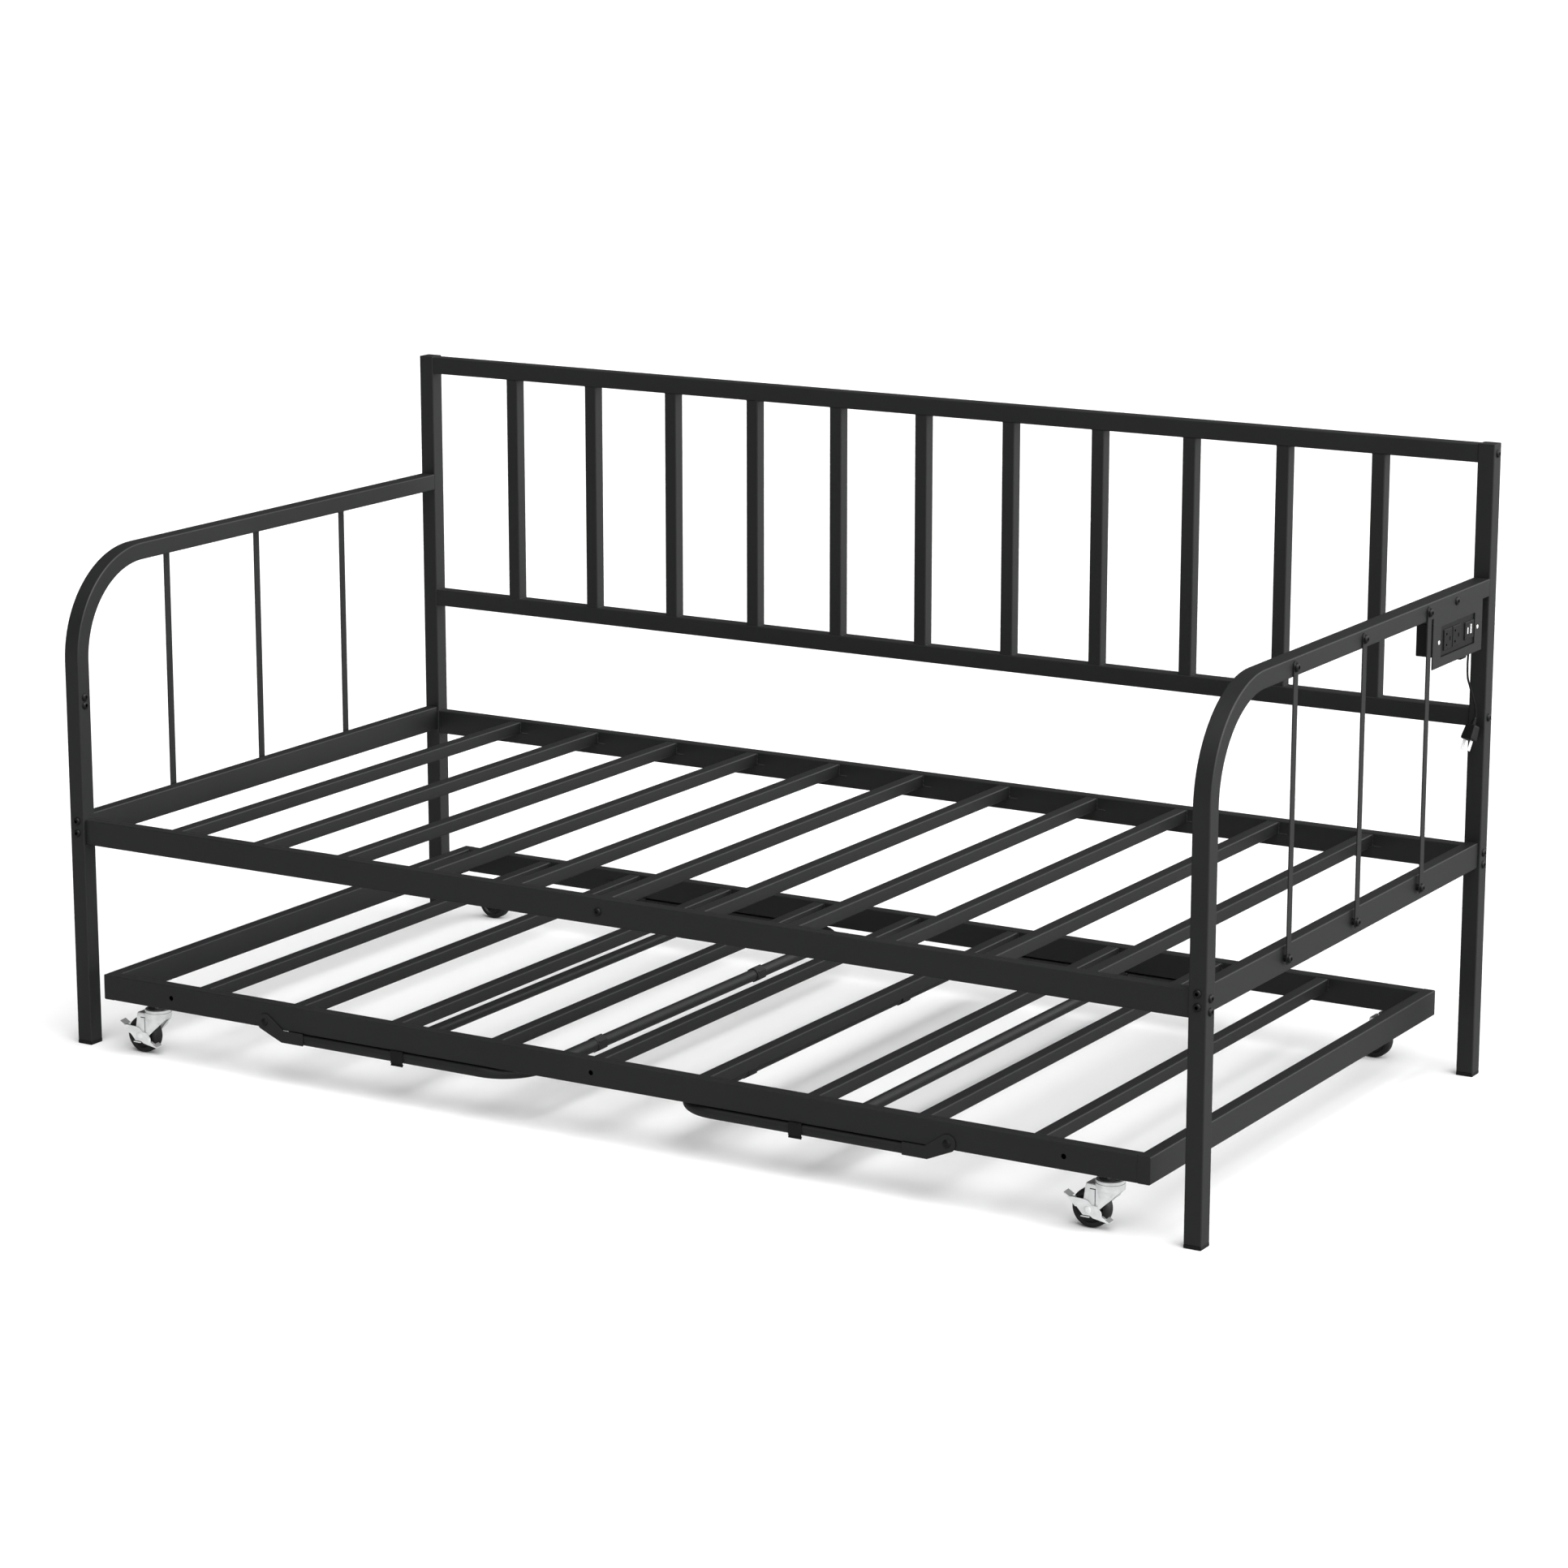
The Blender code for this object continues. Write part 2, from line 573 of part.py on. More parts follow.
def fork(name, at, braked):
    """The swivel head, its two cheeks and the axle, about the stem's axis."""
    place = caster_empty(f"{name}_swivel", at, 0)
    middle = (HEAD_LOW + HEAD_HIGH) / 2
    mesh = cylinder_mesh("fork", HEAD_R, HEAD_HIGH - HEAD_LOW, 2, 24)
    piece = new_object(f"caster_fork_{name}", mesh, PARTS, place, (0, 0, middle))
    end_r = 0.0095
    outline = [(-AXLE_BACK - end_r, HEAD_LOW + 0.0065), (0.014, HEAD_LOW + 0.0065), (0.016, HEAD_LOW - 0.001)]
    outline += arc((-AXLE_BACK, AXLE_Z), end_r, -40, -180, 6)
    added = []
    cheek_y = FORK_INSIDE + FORK_THICK / 2
    for sign in (-1, 1):
        added.append(new_object("tool", flat_mesh("tool", outline, FORK_THICK), CUTTERS, place, (0, sign * cheek_y, 0)))
    web = (0.026, 2 * cheek_y, FORK_THICK)
    added.append(tool_box(web, place, (-AXLE_BACK + 0.0045, 0, HEAD_LOW + 0.0056)))
    outer = FORK_INSIDE + FORK_THICK - WELD
    near = outer if not braked else outer + WELD + 2 * PEDAL_GAP + PEDAL_THICK
    axle = outer + near + RIVET_THICK
    added.append(tool_cylinder(AXLE_R, axle, 1, place, (-AXLE_BACK, (outer - near) / 2, AXLE_Z), 16))
    for y in (-near - RIVET_THICK / 2, outer + RIVET_THICK / 2):
        added.append(tool_cylinder(RIVET_R, RIVET_THICK, 1, place, (-AXLE_BACK, y, AXLE_Z), 16))
    bore = tool_cylinder(HEAD_BORE, 0.04, 2, place, (0, 0, middle), 20)
    finish(join_and_cut(piece, added, [bore]), ZINC)


def wheel(name, at):
    """A turned wheel with rounded shoulders and a recessed hub, about its own axle."""
    place = caster_empty(f"{name}_axle", (at[0] - AXLE_BACK, at[1]), AXLE_Z)
    half = WHEEL_WIDE / 2
    shoulder = 0.0035
    profile = arc((WHEEL_R - shoulder, half - shoulder), shoulder, 90, 0, 3)
    profile += [(r, -h) for r, h in reversed(profile)]
    profile += [(0.021, -half), (0.020, 0.0015 - half), (0.009, 0.0015 - half), (0.008, -half), (WHEEL_BORE, -half)]
    profile += [(WHEEL_BORE, half), (0.008, half), (0.009, half - 0.0015), (0.020, half - 0.0015), (0.021, half)]
    bm = bmesh.new()
    points = [bm.verts.new((r, 0, h)) for r, h in profile]
    for pair in zip(points, points[1:] + points[:1]):
        bm.edges.new(pair)
    piece = new_object(f"caster_wheel_{name}", mesh_from(bm, "wheel"), PARTS, place)
    turn = piece.modifiers.new("turned", "SCREW")
    turn.axis = "Z"
    turn.steps = turn.render_steps = 24
    turn.use_merge_vertices = True
    turn.merge_threshold = 0.00001
    piece.rotation_euler = (math.pi / 2, 0, 0)
    finish(piece, BLACK_RUBBER)


def pedal(name, at):
    """The brake lever on the axle: a plate with a tab at each end, bent back over the tread."""
    place = caster_empty(f"{name}_pedal_axle", (at[0] - AXLE_BACK, at[1]), AXLE_Z)
    y = -(FORK_INSIDE + FORK_THICK + PEDAL_GAP + PEDAL_THICK / 2)
    outline = [
        (-0.0370, 0.0170),
        (-0.0280, 0.0235),
        (-0.0130, 0.0180),
        (-0.0020, 0.0130),
        (0.0100, 0.0080),
        (0.0190, -0.0010),
        (0.0420, -0.0060),
        (0.0350, -0.0130),
        (0.0080, -0.0105),
        (-0.0070, -0.0080),
        (-0.0180, 0.0010),
    ]
    mesh = flat_mesh("pedal", outline, PEDAL_THICK)
    piece = new_object(f"brake_pedal_{name}", mesh, PARTS, place, (0, y, 0))
    tab_y = y + PEDAL_TAB / 2
    added = []
    for x, z, long, lean in ((-0.0325, 0.0202, 0.0095, 36), (0.0384, -0.0097, 0.0095, 45)):
        tab = tool_box((long, PEDAL_TAB, PEDAL_THICK), place, (x, tab_y, z))
        tab.rotation_euler = (0, -math.radians(lean), 0)
        added.append(tab)
    bore = tool_cylinder(AXLE_R + PEDAL_GAP, 4 * PEDAL_THICK, 1, place, (0, y, 0), 16)
    finish(join_and_cut(piece, added, [bore]), ZINC)


def leg_path(sign, front, rear, start):
    """The U that one folding leg's tube makes, from under the front rail round to under the rear rail."""
    bend, cross, z = LEG_BEND, LEG_CROSSBAR, LEG_Z
    near = arc((cross + bend, front + bend), bend, -90, -180, 6)
    far = arc((cross + bend, rear - bend), bend, 180, 90, 6)
    flat = [(start, front), *near, *far, (start, rear)]
    return [(sign * x, y, z) for x, y in flat]


def folding_leg(side, sign):
    """A U of round tube with a stretcher across it and a plate at each end, about its pivots."""
    pivot = (sign * PIVOT_X, 0, PIVOT_Z)
    place = bpy.data.objects.new(f"leg_{side}_pivot", None)
    PARTS.objects.link(place)
    place.parent = TRUNDLE
    place.location = pivot
    plates = (BRACKET_FRONT + BRACKET_THICK / 2, TRUNDLE_REAR - RAIL_WIDE - GAP - BRACKET_THICK / 2)
    lines = [y + BRACKET_THICK / 2 + LEG_R - WELD for y in plates]
    shift = Matrix.Translation([-c for c in pivot])
    outer = wire_mesh("leg", leg_path(sign, *lines, LEG_START), LEG_R)
    outer.transform(shift)
    piece = new_object(f"folding_leg_{side}", outer, PARTS, place)
    bore = wire_mesh("tool", leg_path(sign, *lines, LEG_START + 0.01), LEG_R - LEG_WALL)
    bore.transform(shift)
    middle_y, span = sum(lines) / 2, lines[1] - lines[0]
    cross_at = (sign * (LEG_STRETCHER - PIVOT_X), middle_y, LEG_Z - PIVOT_Z)
    added = [tool_cylinder(LEG_R * 0.97, span, 1, place, cross_at, 12)]
    removed = [new_object("tool", bore, CUTTERS, place)]
    removed.append(tool_cylinder(LEG_R - 2 * LEG_WALL, span - LEG_R, 1, place, cross_at, 12))
    outline = bracket_outline(sign)
    for y in plates:
        added.append(new_object("tool", flat_mesh("tool", outline, BRACKET_THICK), CUTTERS, place, (0, y, 0)))
    finish(join_and_cut(piece, added, removed), BLACK_STEEL)


def bracket_outline(sign):
    """The dog-leg plate from the pivot down to the end of the leg's tube."""
    low = 0.0677 - PIVOT_Z
    high = TRUNDLE_LOW + 0.0005 - PIVOT_Z
    reach = PIVOT_X - BRACKET_END
    points = arc((0, 0), BRACKET_R, 48, 228, 10)
    points += [(PIVOT_X - 0.5635, low), (reach, low), (reach, high), (PIVOT_X - 0.560, high)]
    return [(-sign * x, z) for x, z in points]


def build_daybed():
    for side, sign in (("left", -1), ("right", 1)):
        arm(side, sign)
        rear_post(side, sign)
        side_rail(side, sign)
        arm_bars(side, sign)
        foot(f"foot_front_{side}", sign * POST_X, -POST_Y)
        foot(f"foot_rear_{side}", sign * POST_X, POST_Y)
    long_rail("front", -1)
    long_rail("rear", 1)
    deck_slats()
    back_panel()
    outlet_plate()
    outlet_unit()
    cord()
    plug()


def build_trundle():
    trundle_long_rail("front", TRUNDLE_FRONT + RAIL_WIDE / 2, TRUNDLE_FRONT + RAIL_WIDE)
    trundle_long_rail("rear", TRUNDLE_REAR - RAIL_WIDE / 2, TRUNDLE_REAR)
    trundle_slats()
    for side, sign in (("left", -1), ("right", 1)):
        trundle_side_rail(side, sign)
        folding_leg(side, sign)
    for name, at, braked in caster_places():
        fork(name, at, braked)
        wheel(name, at)
        if braked:
            pedal(name, at)


clear_scene()
PARTS = collection("trundle_bed")
CUTTERS = collection("cutters")
DAYBED = new_object("daybed", None, PARTS, at=(0, DAYBED_Y, 0))
TRUNDLE = new_object("trundle", None, PARTS, DAYBED)
build_daybed()
build_trundle()
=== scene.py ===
"""The looks of a steel daybed with a roll-out trundle, made piece by piece from panel operators."""

import math

import bmesh
import bpy
from bmesh.types import BMEdge, BMVert
from bpy.props import FloatProperty, FloatVectorProperty, IntProperty, PointerProperty
from mathutils import Matrix, Vector


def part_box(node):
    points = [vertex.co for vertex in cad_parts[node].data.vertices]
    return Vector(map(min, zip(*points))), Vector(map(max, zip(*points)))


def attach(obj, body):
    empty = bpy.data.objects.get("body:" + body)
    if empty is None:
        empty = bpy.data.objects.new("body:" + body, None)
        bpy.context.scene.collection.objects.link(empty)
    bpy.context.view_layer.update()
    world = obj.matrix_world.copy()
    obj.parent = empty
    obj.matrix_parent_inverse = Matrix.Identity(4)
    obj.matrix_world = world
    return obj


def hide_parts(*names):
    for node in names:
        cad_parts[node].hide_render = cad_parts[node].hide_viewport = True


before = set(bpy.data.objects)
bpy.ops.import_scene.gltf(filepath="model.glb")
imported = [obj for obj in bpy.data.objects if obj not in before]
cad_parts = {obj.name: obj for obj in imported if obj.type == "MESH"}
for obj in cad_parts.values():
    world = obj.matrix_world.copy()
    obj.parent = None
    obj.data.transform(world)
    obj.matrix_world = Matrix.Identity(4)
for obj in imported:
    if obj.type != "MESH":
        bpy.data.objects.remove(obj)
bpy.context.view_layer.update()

bl_info = {
    "name": "Daybed with trundle",
    "version": (1, 0, 0),
    "blender": (4, 5, 0),
    "location": "View3D > Sidebar > Daybed",
    "description": "Builds a steel daybed with a trundle on casters, an outlet in one arm and folding legs",
    "category": "Add Mesh",
}

SIDES = (("left", -1), ("right", 1))
CASTERS = tuple(f"{end}_{side}" for end in ("front", "rear") for side in ("left", "right"))
UPRIGHT = Matrix.Identity(4)
TO_X = Matrix.Rotation(math.pi / 2, 4, "Y")
TO_Y = Matrix.Rotation(-math.pi / 2, 4, "X")
AXES = {"x": TO_X, "y": TO_Y, "z": UPRIGHT}


# Measurements of the frame


def centre_of(node):
    low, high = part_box(node)
    return (low + high) / 2


def bed_middle():
    """Y of the middle of the daybed, between its long rails."""
    return (centre_of("deck_rail_front").y + centre_of("deck_rail_rear").y) / 2


MIDDLE_Y = bed_middle()
POST_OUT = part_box("rear_post_right")[1].x
POST_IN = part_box("rear_post_right")[0].x
ARM_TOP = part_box("arm_right")[1].z
POST_WIDE = POST_OUT - POST_IN
DECK_SLATS = [f"deck_slat_{i:02d}" for i in range(1, 12)]
SLAT_XS = [centre_of(node).x for node in DECK_SLATS]
TRUNDLE_SLATS = [f"trundle_slat_{i}" for i in range(1, 10)]
TRUNDLE_RAIL_DEEP = 0.020


def length_prop(name, description, default):
    return FloatProperty(name=name, description=description, default=default, unit="LENGTH")


def colour_prop(name, description, default):
    return FloatVectorProperty(name=name, description=description, subtype="COLOR", default=default)


class DaybedSizes(bpy.types.PropertyGroup):
    """Sizes of what finishes the frame."""

    tube_corner: length_prop("Tube corner", "Radius of the square tubes' corners", 0.002)
    tube_wall: length_prop("Tube wall", "Thickness of the tubes' walls", 0.0012)
    bend_radius: length_prop("Arm bend", "Radius of the arms' bend, at the tube's middle", 0.152)
    bend_steps: IntProperty(name="Bend steps", description="Steps round the arms' bend", default=32)
    bolt_radius: length_prop("Bolt head", "Radius of the button-head bolts", 0.0061)
    bolt_rise: length_prop("Bolt rise", "How far a bolt head stands out", 0.0031)
    bead_radius: length_prop("Weld bead", "Radius of the weld beads", 0.0013)
    leg_radius: length_prop("Leg tube", "Radius of the folding legs' tube", 0.0095)
    leg_bend: length_prop("Leg bend", "Radius of the bends in the folding legs", 0.069)
    cord_diameter: length_prop("Cord", "Diameter of the outlet's cord", 0.0032)


class DaybedFinishes(bpy.types.PropertyGroup):
    """Colours of the bed and of the studio."""

    coat: colour_prop("Powder coat", "Colour of the steel's coat", (0.0082, 0.0087, 0.0086))
    bolt: colour_prop("Bolts", "Colour of the black bolts", (0.006, 0.006, 0.0063))
    zinc: colour_prop("Zinc", "Colour of the casters' plated steel", (0.83, 0.84, 0.84))
    plastic: colour_prop("Plastic", "Colour of the outlet and the plug", (0.0065, 0.0065, 0.007))
    wheel: colour_prop("Wheels", "Colour of the casters' wheels", (0.007, 0.007, 0.0075))
    floor: colour_prop("Floor", "Colour of the studio floor", (0.9, 0.9, 0.9))


# Materials


class Wire:
    """A shader socket that works in Python sums."""

    def __init__(self, finish, socket):
        self.finish, self.socket = finish, socket

    def sum_with(self, operation, first, second):
        return self.finish.node("Math", {"operation": operation}, {0: first, 1: second})

    def __add__(self, other):
        return self.sum_with("ADD", self, other)

    def __mul__(self, other):
        return self.sum_with("MULTIPLY", self, other)

    def __pow__(self, other):
        return self.sum_with("POWER", self, other)

    __radd__ = __add__
    __rmul__ = __mul__


class Finish:
    """A material in the making, with its shader."""

    def __init__(self, name):
        self.material = bpy.data.materials.new(name)
        self.material.use_nodes = True
        self.tree = self.material.node_tree
        self.shader = self.tree.nodes["Principled BSDF"]

    def node(self, kind, settings=None, inputs=None, output=0):
        """A node: its settings are made first, then its sockets. Gives one output as a wire."""
        made = self.tree.nodes.new("ShaderNode" + kind)
        for key, value in (settings or {}).items():
            if key == "stops":
                self.set_stops(made.color_ramp, value)
            else:
                setattr(made, key, value)
        for key, value in (inputs or {}).items():
            self.feed(made.inputs[key], value)
        return Wire(self, made.outputs[output])

    def set_stops(self, ramp, stops):
        for spot, (place, grey) in zip(ramp.elements, stops):
            spot.position = place
            spot.color = (grey, grey, grey, 1)

    def feed(self, socket, value):
        if isinstance(value, Wire):
            self.tree.links.new(value.socket, socket)
        else:
            socket.default_value = value

    def set(self, **inputs):
        for key, value in inputs.items():
            self.feed(self.shader.inputs[key.replace("_", " ")], value)

    def place(self):
        return self.node("TexCoord", output="Object")

    def noise(self, scale, detail=2.0, rough=0.5, stretch=None):
        place = self.place()
        if stretch:
            place = self.node("Mapping", inputs={"Vector": place, "Scale": stretch})
        inputs = {"Vector": place, "Scale": scale, "Detail": detail, "Roughness": rough}
        return self.node("TexNoise", inputs=inputs)

    def blend(self, first, second, factor):
        ends = [end if isinstance(end, Wire) else (*end, 1) for end in (first, second)]
        return self.node("Mix", {"data_type": "RGBA"}, {0: factor, 6: ends[0], 7: ends[1]}, 2)

    def relief(self, height, strength, depth):
        inputs = {"Height": height, "Strength": strength, "Distance": depth}
        self.set(Normal=self.node("Bump", inputs=inputs))


def times(colour, by):
    return tuple(channel * by for channel in colour)


def powder_coat(name, colour):
    """Satin black powder coat: an even, faintly pebbled film, a little cloudy."""
    finish = Finish(name)
    cloud = finish.noise(7.0, 3.0)
    pebble = finish.noise(650.0, 2.0)
    finish.set(
        Base_Color=finish.blend(times(colour, 0.82), times(colour, 1.2), cloud),
        Roughness=0.40 + cloud * 0.08 + pebble * 0.06,
        Specular_IOR_Level=0.5,
    )
    finish.relief(pebble, 0.22, 0.00012)
    return finish.material


def black_bolt(name, colour):
    """Black oxide on a forged head, slightly oily."""
    finish = Finish(name)
    grain = finish.noise(900.0, 3.0)
    finish.set(
        Base_Color=finish.blend(times(colour, 0.7), times(colour, 1.5), grain),
        Metallic=0.25,
        Roughness=0.30 + grain * 0.16,
        Specular_IOR_Level=0.35,
    )
    finish.relief(grain, 0.15, 0.00005)
    return finish.material


def bright_zinc(name, colour):
    """Bright zinc on pressed steel: rolling streaks, duller patches, and painted shade that darkens what
    faces up.
    """
    finish = Finish(name)
    patch = finish.noise(90.0, 4.0)
    streak = finish.noise(380.0, 3.0, 0.6, (0.18, 1.0, 1.0))
    normal = finish.node("NewGeometry", output="Normal")
    up = finish.node("SeparateXYZ", inputs={0: normal}, output=2)
    # Painted shade: the more a face points up, the closer its colour goes to a dark grey.
    painted_top_shade = finish.node("MapRange", inputs={0: up, 1: 0.35, 2: 0.9, 3: 0.0, 4: 0.85})
    plate = finish.blend(times(colour, 0.78), times(colour, 1.2), patch)
    finish.set(
        Base_Color=finish.blend(plate, times(colour, 0.16), painted_top_shade),
        Metallic=0.28,
        Roughness=0.22 + patch * 0.16 + streak * 0.12,
    )
    finish.relief(streak, 0.18, 0.00006)
    return finish.material


def moulded_plastic(name, colour, rough, texture=1500.0):
    """Black moulded plastic with the mould's fine spark texture."""
    finish = Finish(name)
    spark = finish.noise(texture, 2.0)
    haze = finish.noise(24.0, 2.0)
    finish.set(
        Base_Color=finish.blend(times(colour, 0.85), times(colour, 1.25), haze),
        Roughness=rough + haze * 0.08 + spark * 0.05,
        Specular_IOR_Level=0.24,
    )
    finish.relief(spark, 0.25, 0.00006)
    return finish.material


def wheel_plastic(name, colour):
    """Hard black wheel with a matt tread that has picked up a little dust."""
    finish = Finish(name)
    dust = finish.noise(130.0, 4.0)
    finish.set(
        Base_Color=finish.blend(colour, times(colour, 2.6), dust**3.0),
        Roughness=0.36 + dust * 0.22,
    )
    finish.relief(dust, 0.12, 0.0001)
    return finish.material


def plain_metal(name, colour, rough):
    """Small bright stamped contacts, blades and screws."""
    finish = Finish(name)
    streak = finish.noise(700.0, 2.0, 0.5, (1.0, 1.0, 0.2))
    finish.set(
        Base_Color=finish.blend(times(colour, 0.9), times(colour, 1.08), streak),
        Metallic=0.25,
        Roughness=rough + streak * 0.1,
    )
    return finish.material


MAKERS = {
    "coat": lambda c: powder_coat("satin_black_coat", c.coat),
    "bolt": lambda c: black_bolt("black_bolts", c.bolt),
    "zinc": lambda c: bright_zinc("bright_zinc", c.zinc),
    "plastic": lambda c: moulded_plastic("black_plastic", c.plastic, 0.34),
    "sheath": lambda c: moulded_plastic("cord_sheath", c.plastic, 0.42, 2600.0),
    "foot": lambda c: moulded_plastic("foot_plastic", c.plastic, 0.46),
    "wheel": lambda c: wheel_plastic("wheel_black", c.wheel),
    "contact": lambda c: plain_metal("bright_contacts", (0.88, 0.88, 0.87), 0.2),
    # Near-black for sheets of painted shade, set in the socket pockets and the caster slits.
    "shadow": lambda c: moulded_plastic("painted_shade_black", (0.002, 0.002, 0.002), 0.7),
}
made_finishes = {}


def finish_of(kind):
    """A finish by its short name, made the first time it is used."""
    if kind not in made_finishes:
        made_finishes[kind] = MAKERS[kind](bpy.context.scene.daybed_finishes)
    return made_finishes[kind]


# Shapes


def add_object(name, data):
    made = bpy.data.objects.new(name, data)
    bpy.context.scene.collection.objects.link(made)
    return made


def once(things):
    """Drops repeats and keeps the order, so that every run makes the same mesh."""
    return list(dict.fromkeys(things))


def edges_at(verts):
    return once(e for v in verts for e in v.link_edges)


def only(kind, geom):
    return [g for g in geom if isinstance(g, kind)]


def in_mm(*pairs):
    """Pairs of millimetres as pairs of metres."""
    return [(a / 1000, b / 1000) for a, b in pairs]


def add_cube(bm, size, at, turn=UPRIGHT):
    """A sharp block, by its corners, for more work."""
    matrix = Matrix.Translation(at) @ turn @ Matrix.Diagonal((*size, 1))
    return bmesh.ops.create_cube(bm, size=1, matrix=matrix)["verts"]


def add_box(bm, size, at, round_by=0.0, segments=2, turn=UPRIGHT):
    """A block, with rounded edges if round_by says how much."""
    corners = add_cube(bm, size, at, turn)
    if round_by:
        round_edges(bm, edges_at(corners), round_by, segments)


def round_edges(bm, edges, by, segments=2):
    bmesh.ops.bevel(bm, geom=edges, offset=by, segments=segments, profile=0.5, affect="EDGES", material=-1)


def add_rod(bm, radius, length, axis, at, sides=24, round_by=0.0, far_radius=None):
    """A rod about its middle, with rounded rims."""
    ends = bmesh.ops.create_cone(
        bm,
        cap_ends=True,
        segments=sides,
        radius1=radius,
        radius2=radius if far_radius is None else far_radius,
        depth=length,
        matrix=Matrix.Translation(at) @ AXES[axis],
    )["verts"]
    if round_by:
        rims = [e for e in edges_at(ends) if any(len(f.verts) == sides for f in e.link_faces)]
        round_edges(bm, rims, round_by)


def add_turned(bm, profile, axis, at, steps=32, way=1):
    """A solid turned from radius and height pairs, about the axis through at. A way of -1 flips it."""
    frame_of = Matrix.Translation(at) @ AXES[axis]
    points = [bm.verts.new(frame_of @ Vector((r, 0, way * h))) for r, h in profile]
    edges = [bm.edges.new(pair) for pair in zip(points, points[1:])]
    if profile[0][0] > 0:
        edges.append(bm.edges.new((points[-1], points[0])))
    bmesh.ops.spin(
        bm,
        geom=[*points, *edges],
        cent=at,
        axis=frame_of.to_3x3() @ Vector((0, 0, 1)),
        angle=2 * math.pi,
        steps=steps,
        use_merge=True,
    )


def add_plate(bm, outline, thickness, matrix, round_by=0.0):
    """A flat plate: its outline is in X and Z of its own frame, and its thickness is centred along Y."""
    points = [bm.verts.new(matrix @ Vector((x, -thickness / 2, z))) for x, z in outline]
    face = bm.faces.new(points)
    grown = bmesh.ops.extrude_face_region(bm, geom=[face])["geom"]
    far = only(BMVert, grown)
    bmesh.ops.translate(bm, verts=far, vec=matrix.to_3x3() @ Vector((0, thickness, 0)))
    every = [*points, *far]
    faces = once(f for v in every for f in v.link_faces)
    bmesh.ops.recalc_face_normals(bm, faces=faces)
    if round_by:
        flat = [f for f in faces if len(f.verts) == len(outline)]
        rims = [e for e in edges_at(every) if any(f in flat for f in e.link_faces)]
        round_edges(bm, rims, round_by)


def pour(bm, small):
    """Adds a small finished shape to a larger one."""
    mesh = bpy.data.meshes.new("small")
    small.to_mesh(mesh)
    small.free()
    bm.from_mesh(mesh)
    bpy.data.meshes.remove(mesh)


def face_out(bm, way):
    """Turns every face of a shape round if the face furthest along way looks inwards."""
    way = Vector(way)
    if max(bm.faces, key=lambda f: f.calc_center_median().dot(way)).normal.dot(way) < 0:
        bmesh.ops.reverse_faces(bm, faces=bm.faces)


def add_bead(bm, start, end, radius):
    """A weld bead: overlapping drops along a line."""
    start, end = Vector(start), Vector(end)
    drops = max(2, round((end - start).length / (1.25 * radius)))
    row = bmesh.new()
    for i in range(drops):
        at = start.lerp(end, i / (drops - 1))
        size = radius * (1 + 0.12 * math.sin(2.4 * i))
        bmesh.ops.create_icosphere(row, subdivisions=2, radius=size, matrix=Matrix.Translation(at))
    pour(bm, row)


def run_on(bm, ring, move):
    """Takes a tube's open end straight on, and gives the new end."""
    made = bmesh.ops.extrude_edge_only(bm, edges=ring)["geom"]
    bmesh.ops.translate(bm, verts=only(BMVert, made), vec=move)
    return only(BMEdge, made)


def bend_on(bm, ring, centre, axis, angle, steps):
    """Takes a tube's open end round a bend, and gives the new end."""
    made = bmesh.ops.spin(bm, geom=ring, cent=centre, axis=axis, angle=angle, steps=steps)
    return only(BMEdge, made["geom_last"])


def square_ring(bm, side, corner, at):
    """A rounded square's edges, for a tube to grow from."""
    matrix = Matrix.Translation(at) @ Matrix.Diagonal((side, side, 1, 1))
    corners = bmesh.ops.create_grid(bm, x_segments=1, y_segments=1, size=0.5, matrix=matrix)["verts"]
    bmesh.ops.bevel(
        bm, geom=corners, offset=corner, segments=5, profile=0.5, affect="VERTICES", material=-1
    )
    faces = [f for f in bm.faces if len(f.verts) > 4]
    ring = once(e for f in faces for e in f.edges)
    bmesh.ops.delete(bm, geom=faces, context="FACES_ONLY")
    return ring


def merge(bm):
    """Joins doubled corners and points the faces outwards."""
    bmesh.ops.remove_doubles(bm, verts=bm.verts, dist=0.000005)
    bmesh.ops.recalc_face_normals(bm, faces=bm.faces)


def smooth(mesh, sharp=35):
    """Smooth shading, but for the edges that turn by more than sharp degrees."""
    mesh.shade_smooth()
    mesh.set_sharp_from_angle(angle=math.radians(sharp))


def shape_now(made):
    """A piece's mesh with its shown modifiers applied."""
    graph = bpy.context.evaluated_depsgraph_get()
    return bpy.data.meshes.new_from_object(made.evaluated_get(graph))


def piece(bm, name, body, kind, hides=(), wall=0.0, sharp=35, clean=True):
    """Makes a shape a piece that moves with a body, takes a finish and stands for the nodes in hides."""
    if clean:
        merge(bm)
    mesh = bpy.data.meshes.new(name)
    bm.to_mesh(mesh)
    bm.free()
    made = add_object(name, mesh)
    smooth(mesh, sharp)
    mesh.materials.append(finish_of(kind))
    if wall:
        shell = made.modifiers.new("wall", "SOLIDIFY")
        shell.thickness = wall
        shell.offset = -1
        shell.use_even_offset = True
    flat = made.modifiers.new("flat_faces", "WEIGHTED_NORMAL")
    flat.keep_sharp = True
    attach(made, body)
    if hides:
        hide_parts(*hides)
    return made


def carve(made, cutter):
    """Takes a cutter's shape out of a piece."""
    tool = add_object("cutter", bpy.data.meshes.new("cutter"))
    merge(cutter)
    cutter.to_mesh(tool.data)
    cutter.free()
    cut = made.modifiers.new("cut", "BOOLEAN")
    cut.operation = "DIFFERENCE"
    cut.solver = "EXACT"
    cut.use_self = True
    cut.object = tool
    made.modifiers.move(len(made.modifiers) - 1, 0)
    keep = [m for m in made.modifiers if m != cut]
    for other in keep:
        other.show_viewport = False
    mesh = shape_now(made)
    for other in keep:
        other.show_viewport = True
    made.modifiers.remove(cut)
    made.data = mesh
    smooth(mesh)
    bpy.data.objects.remove(tool)


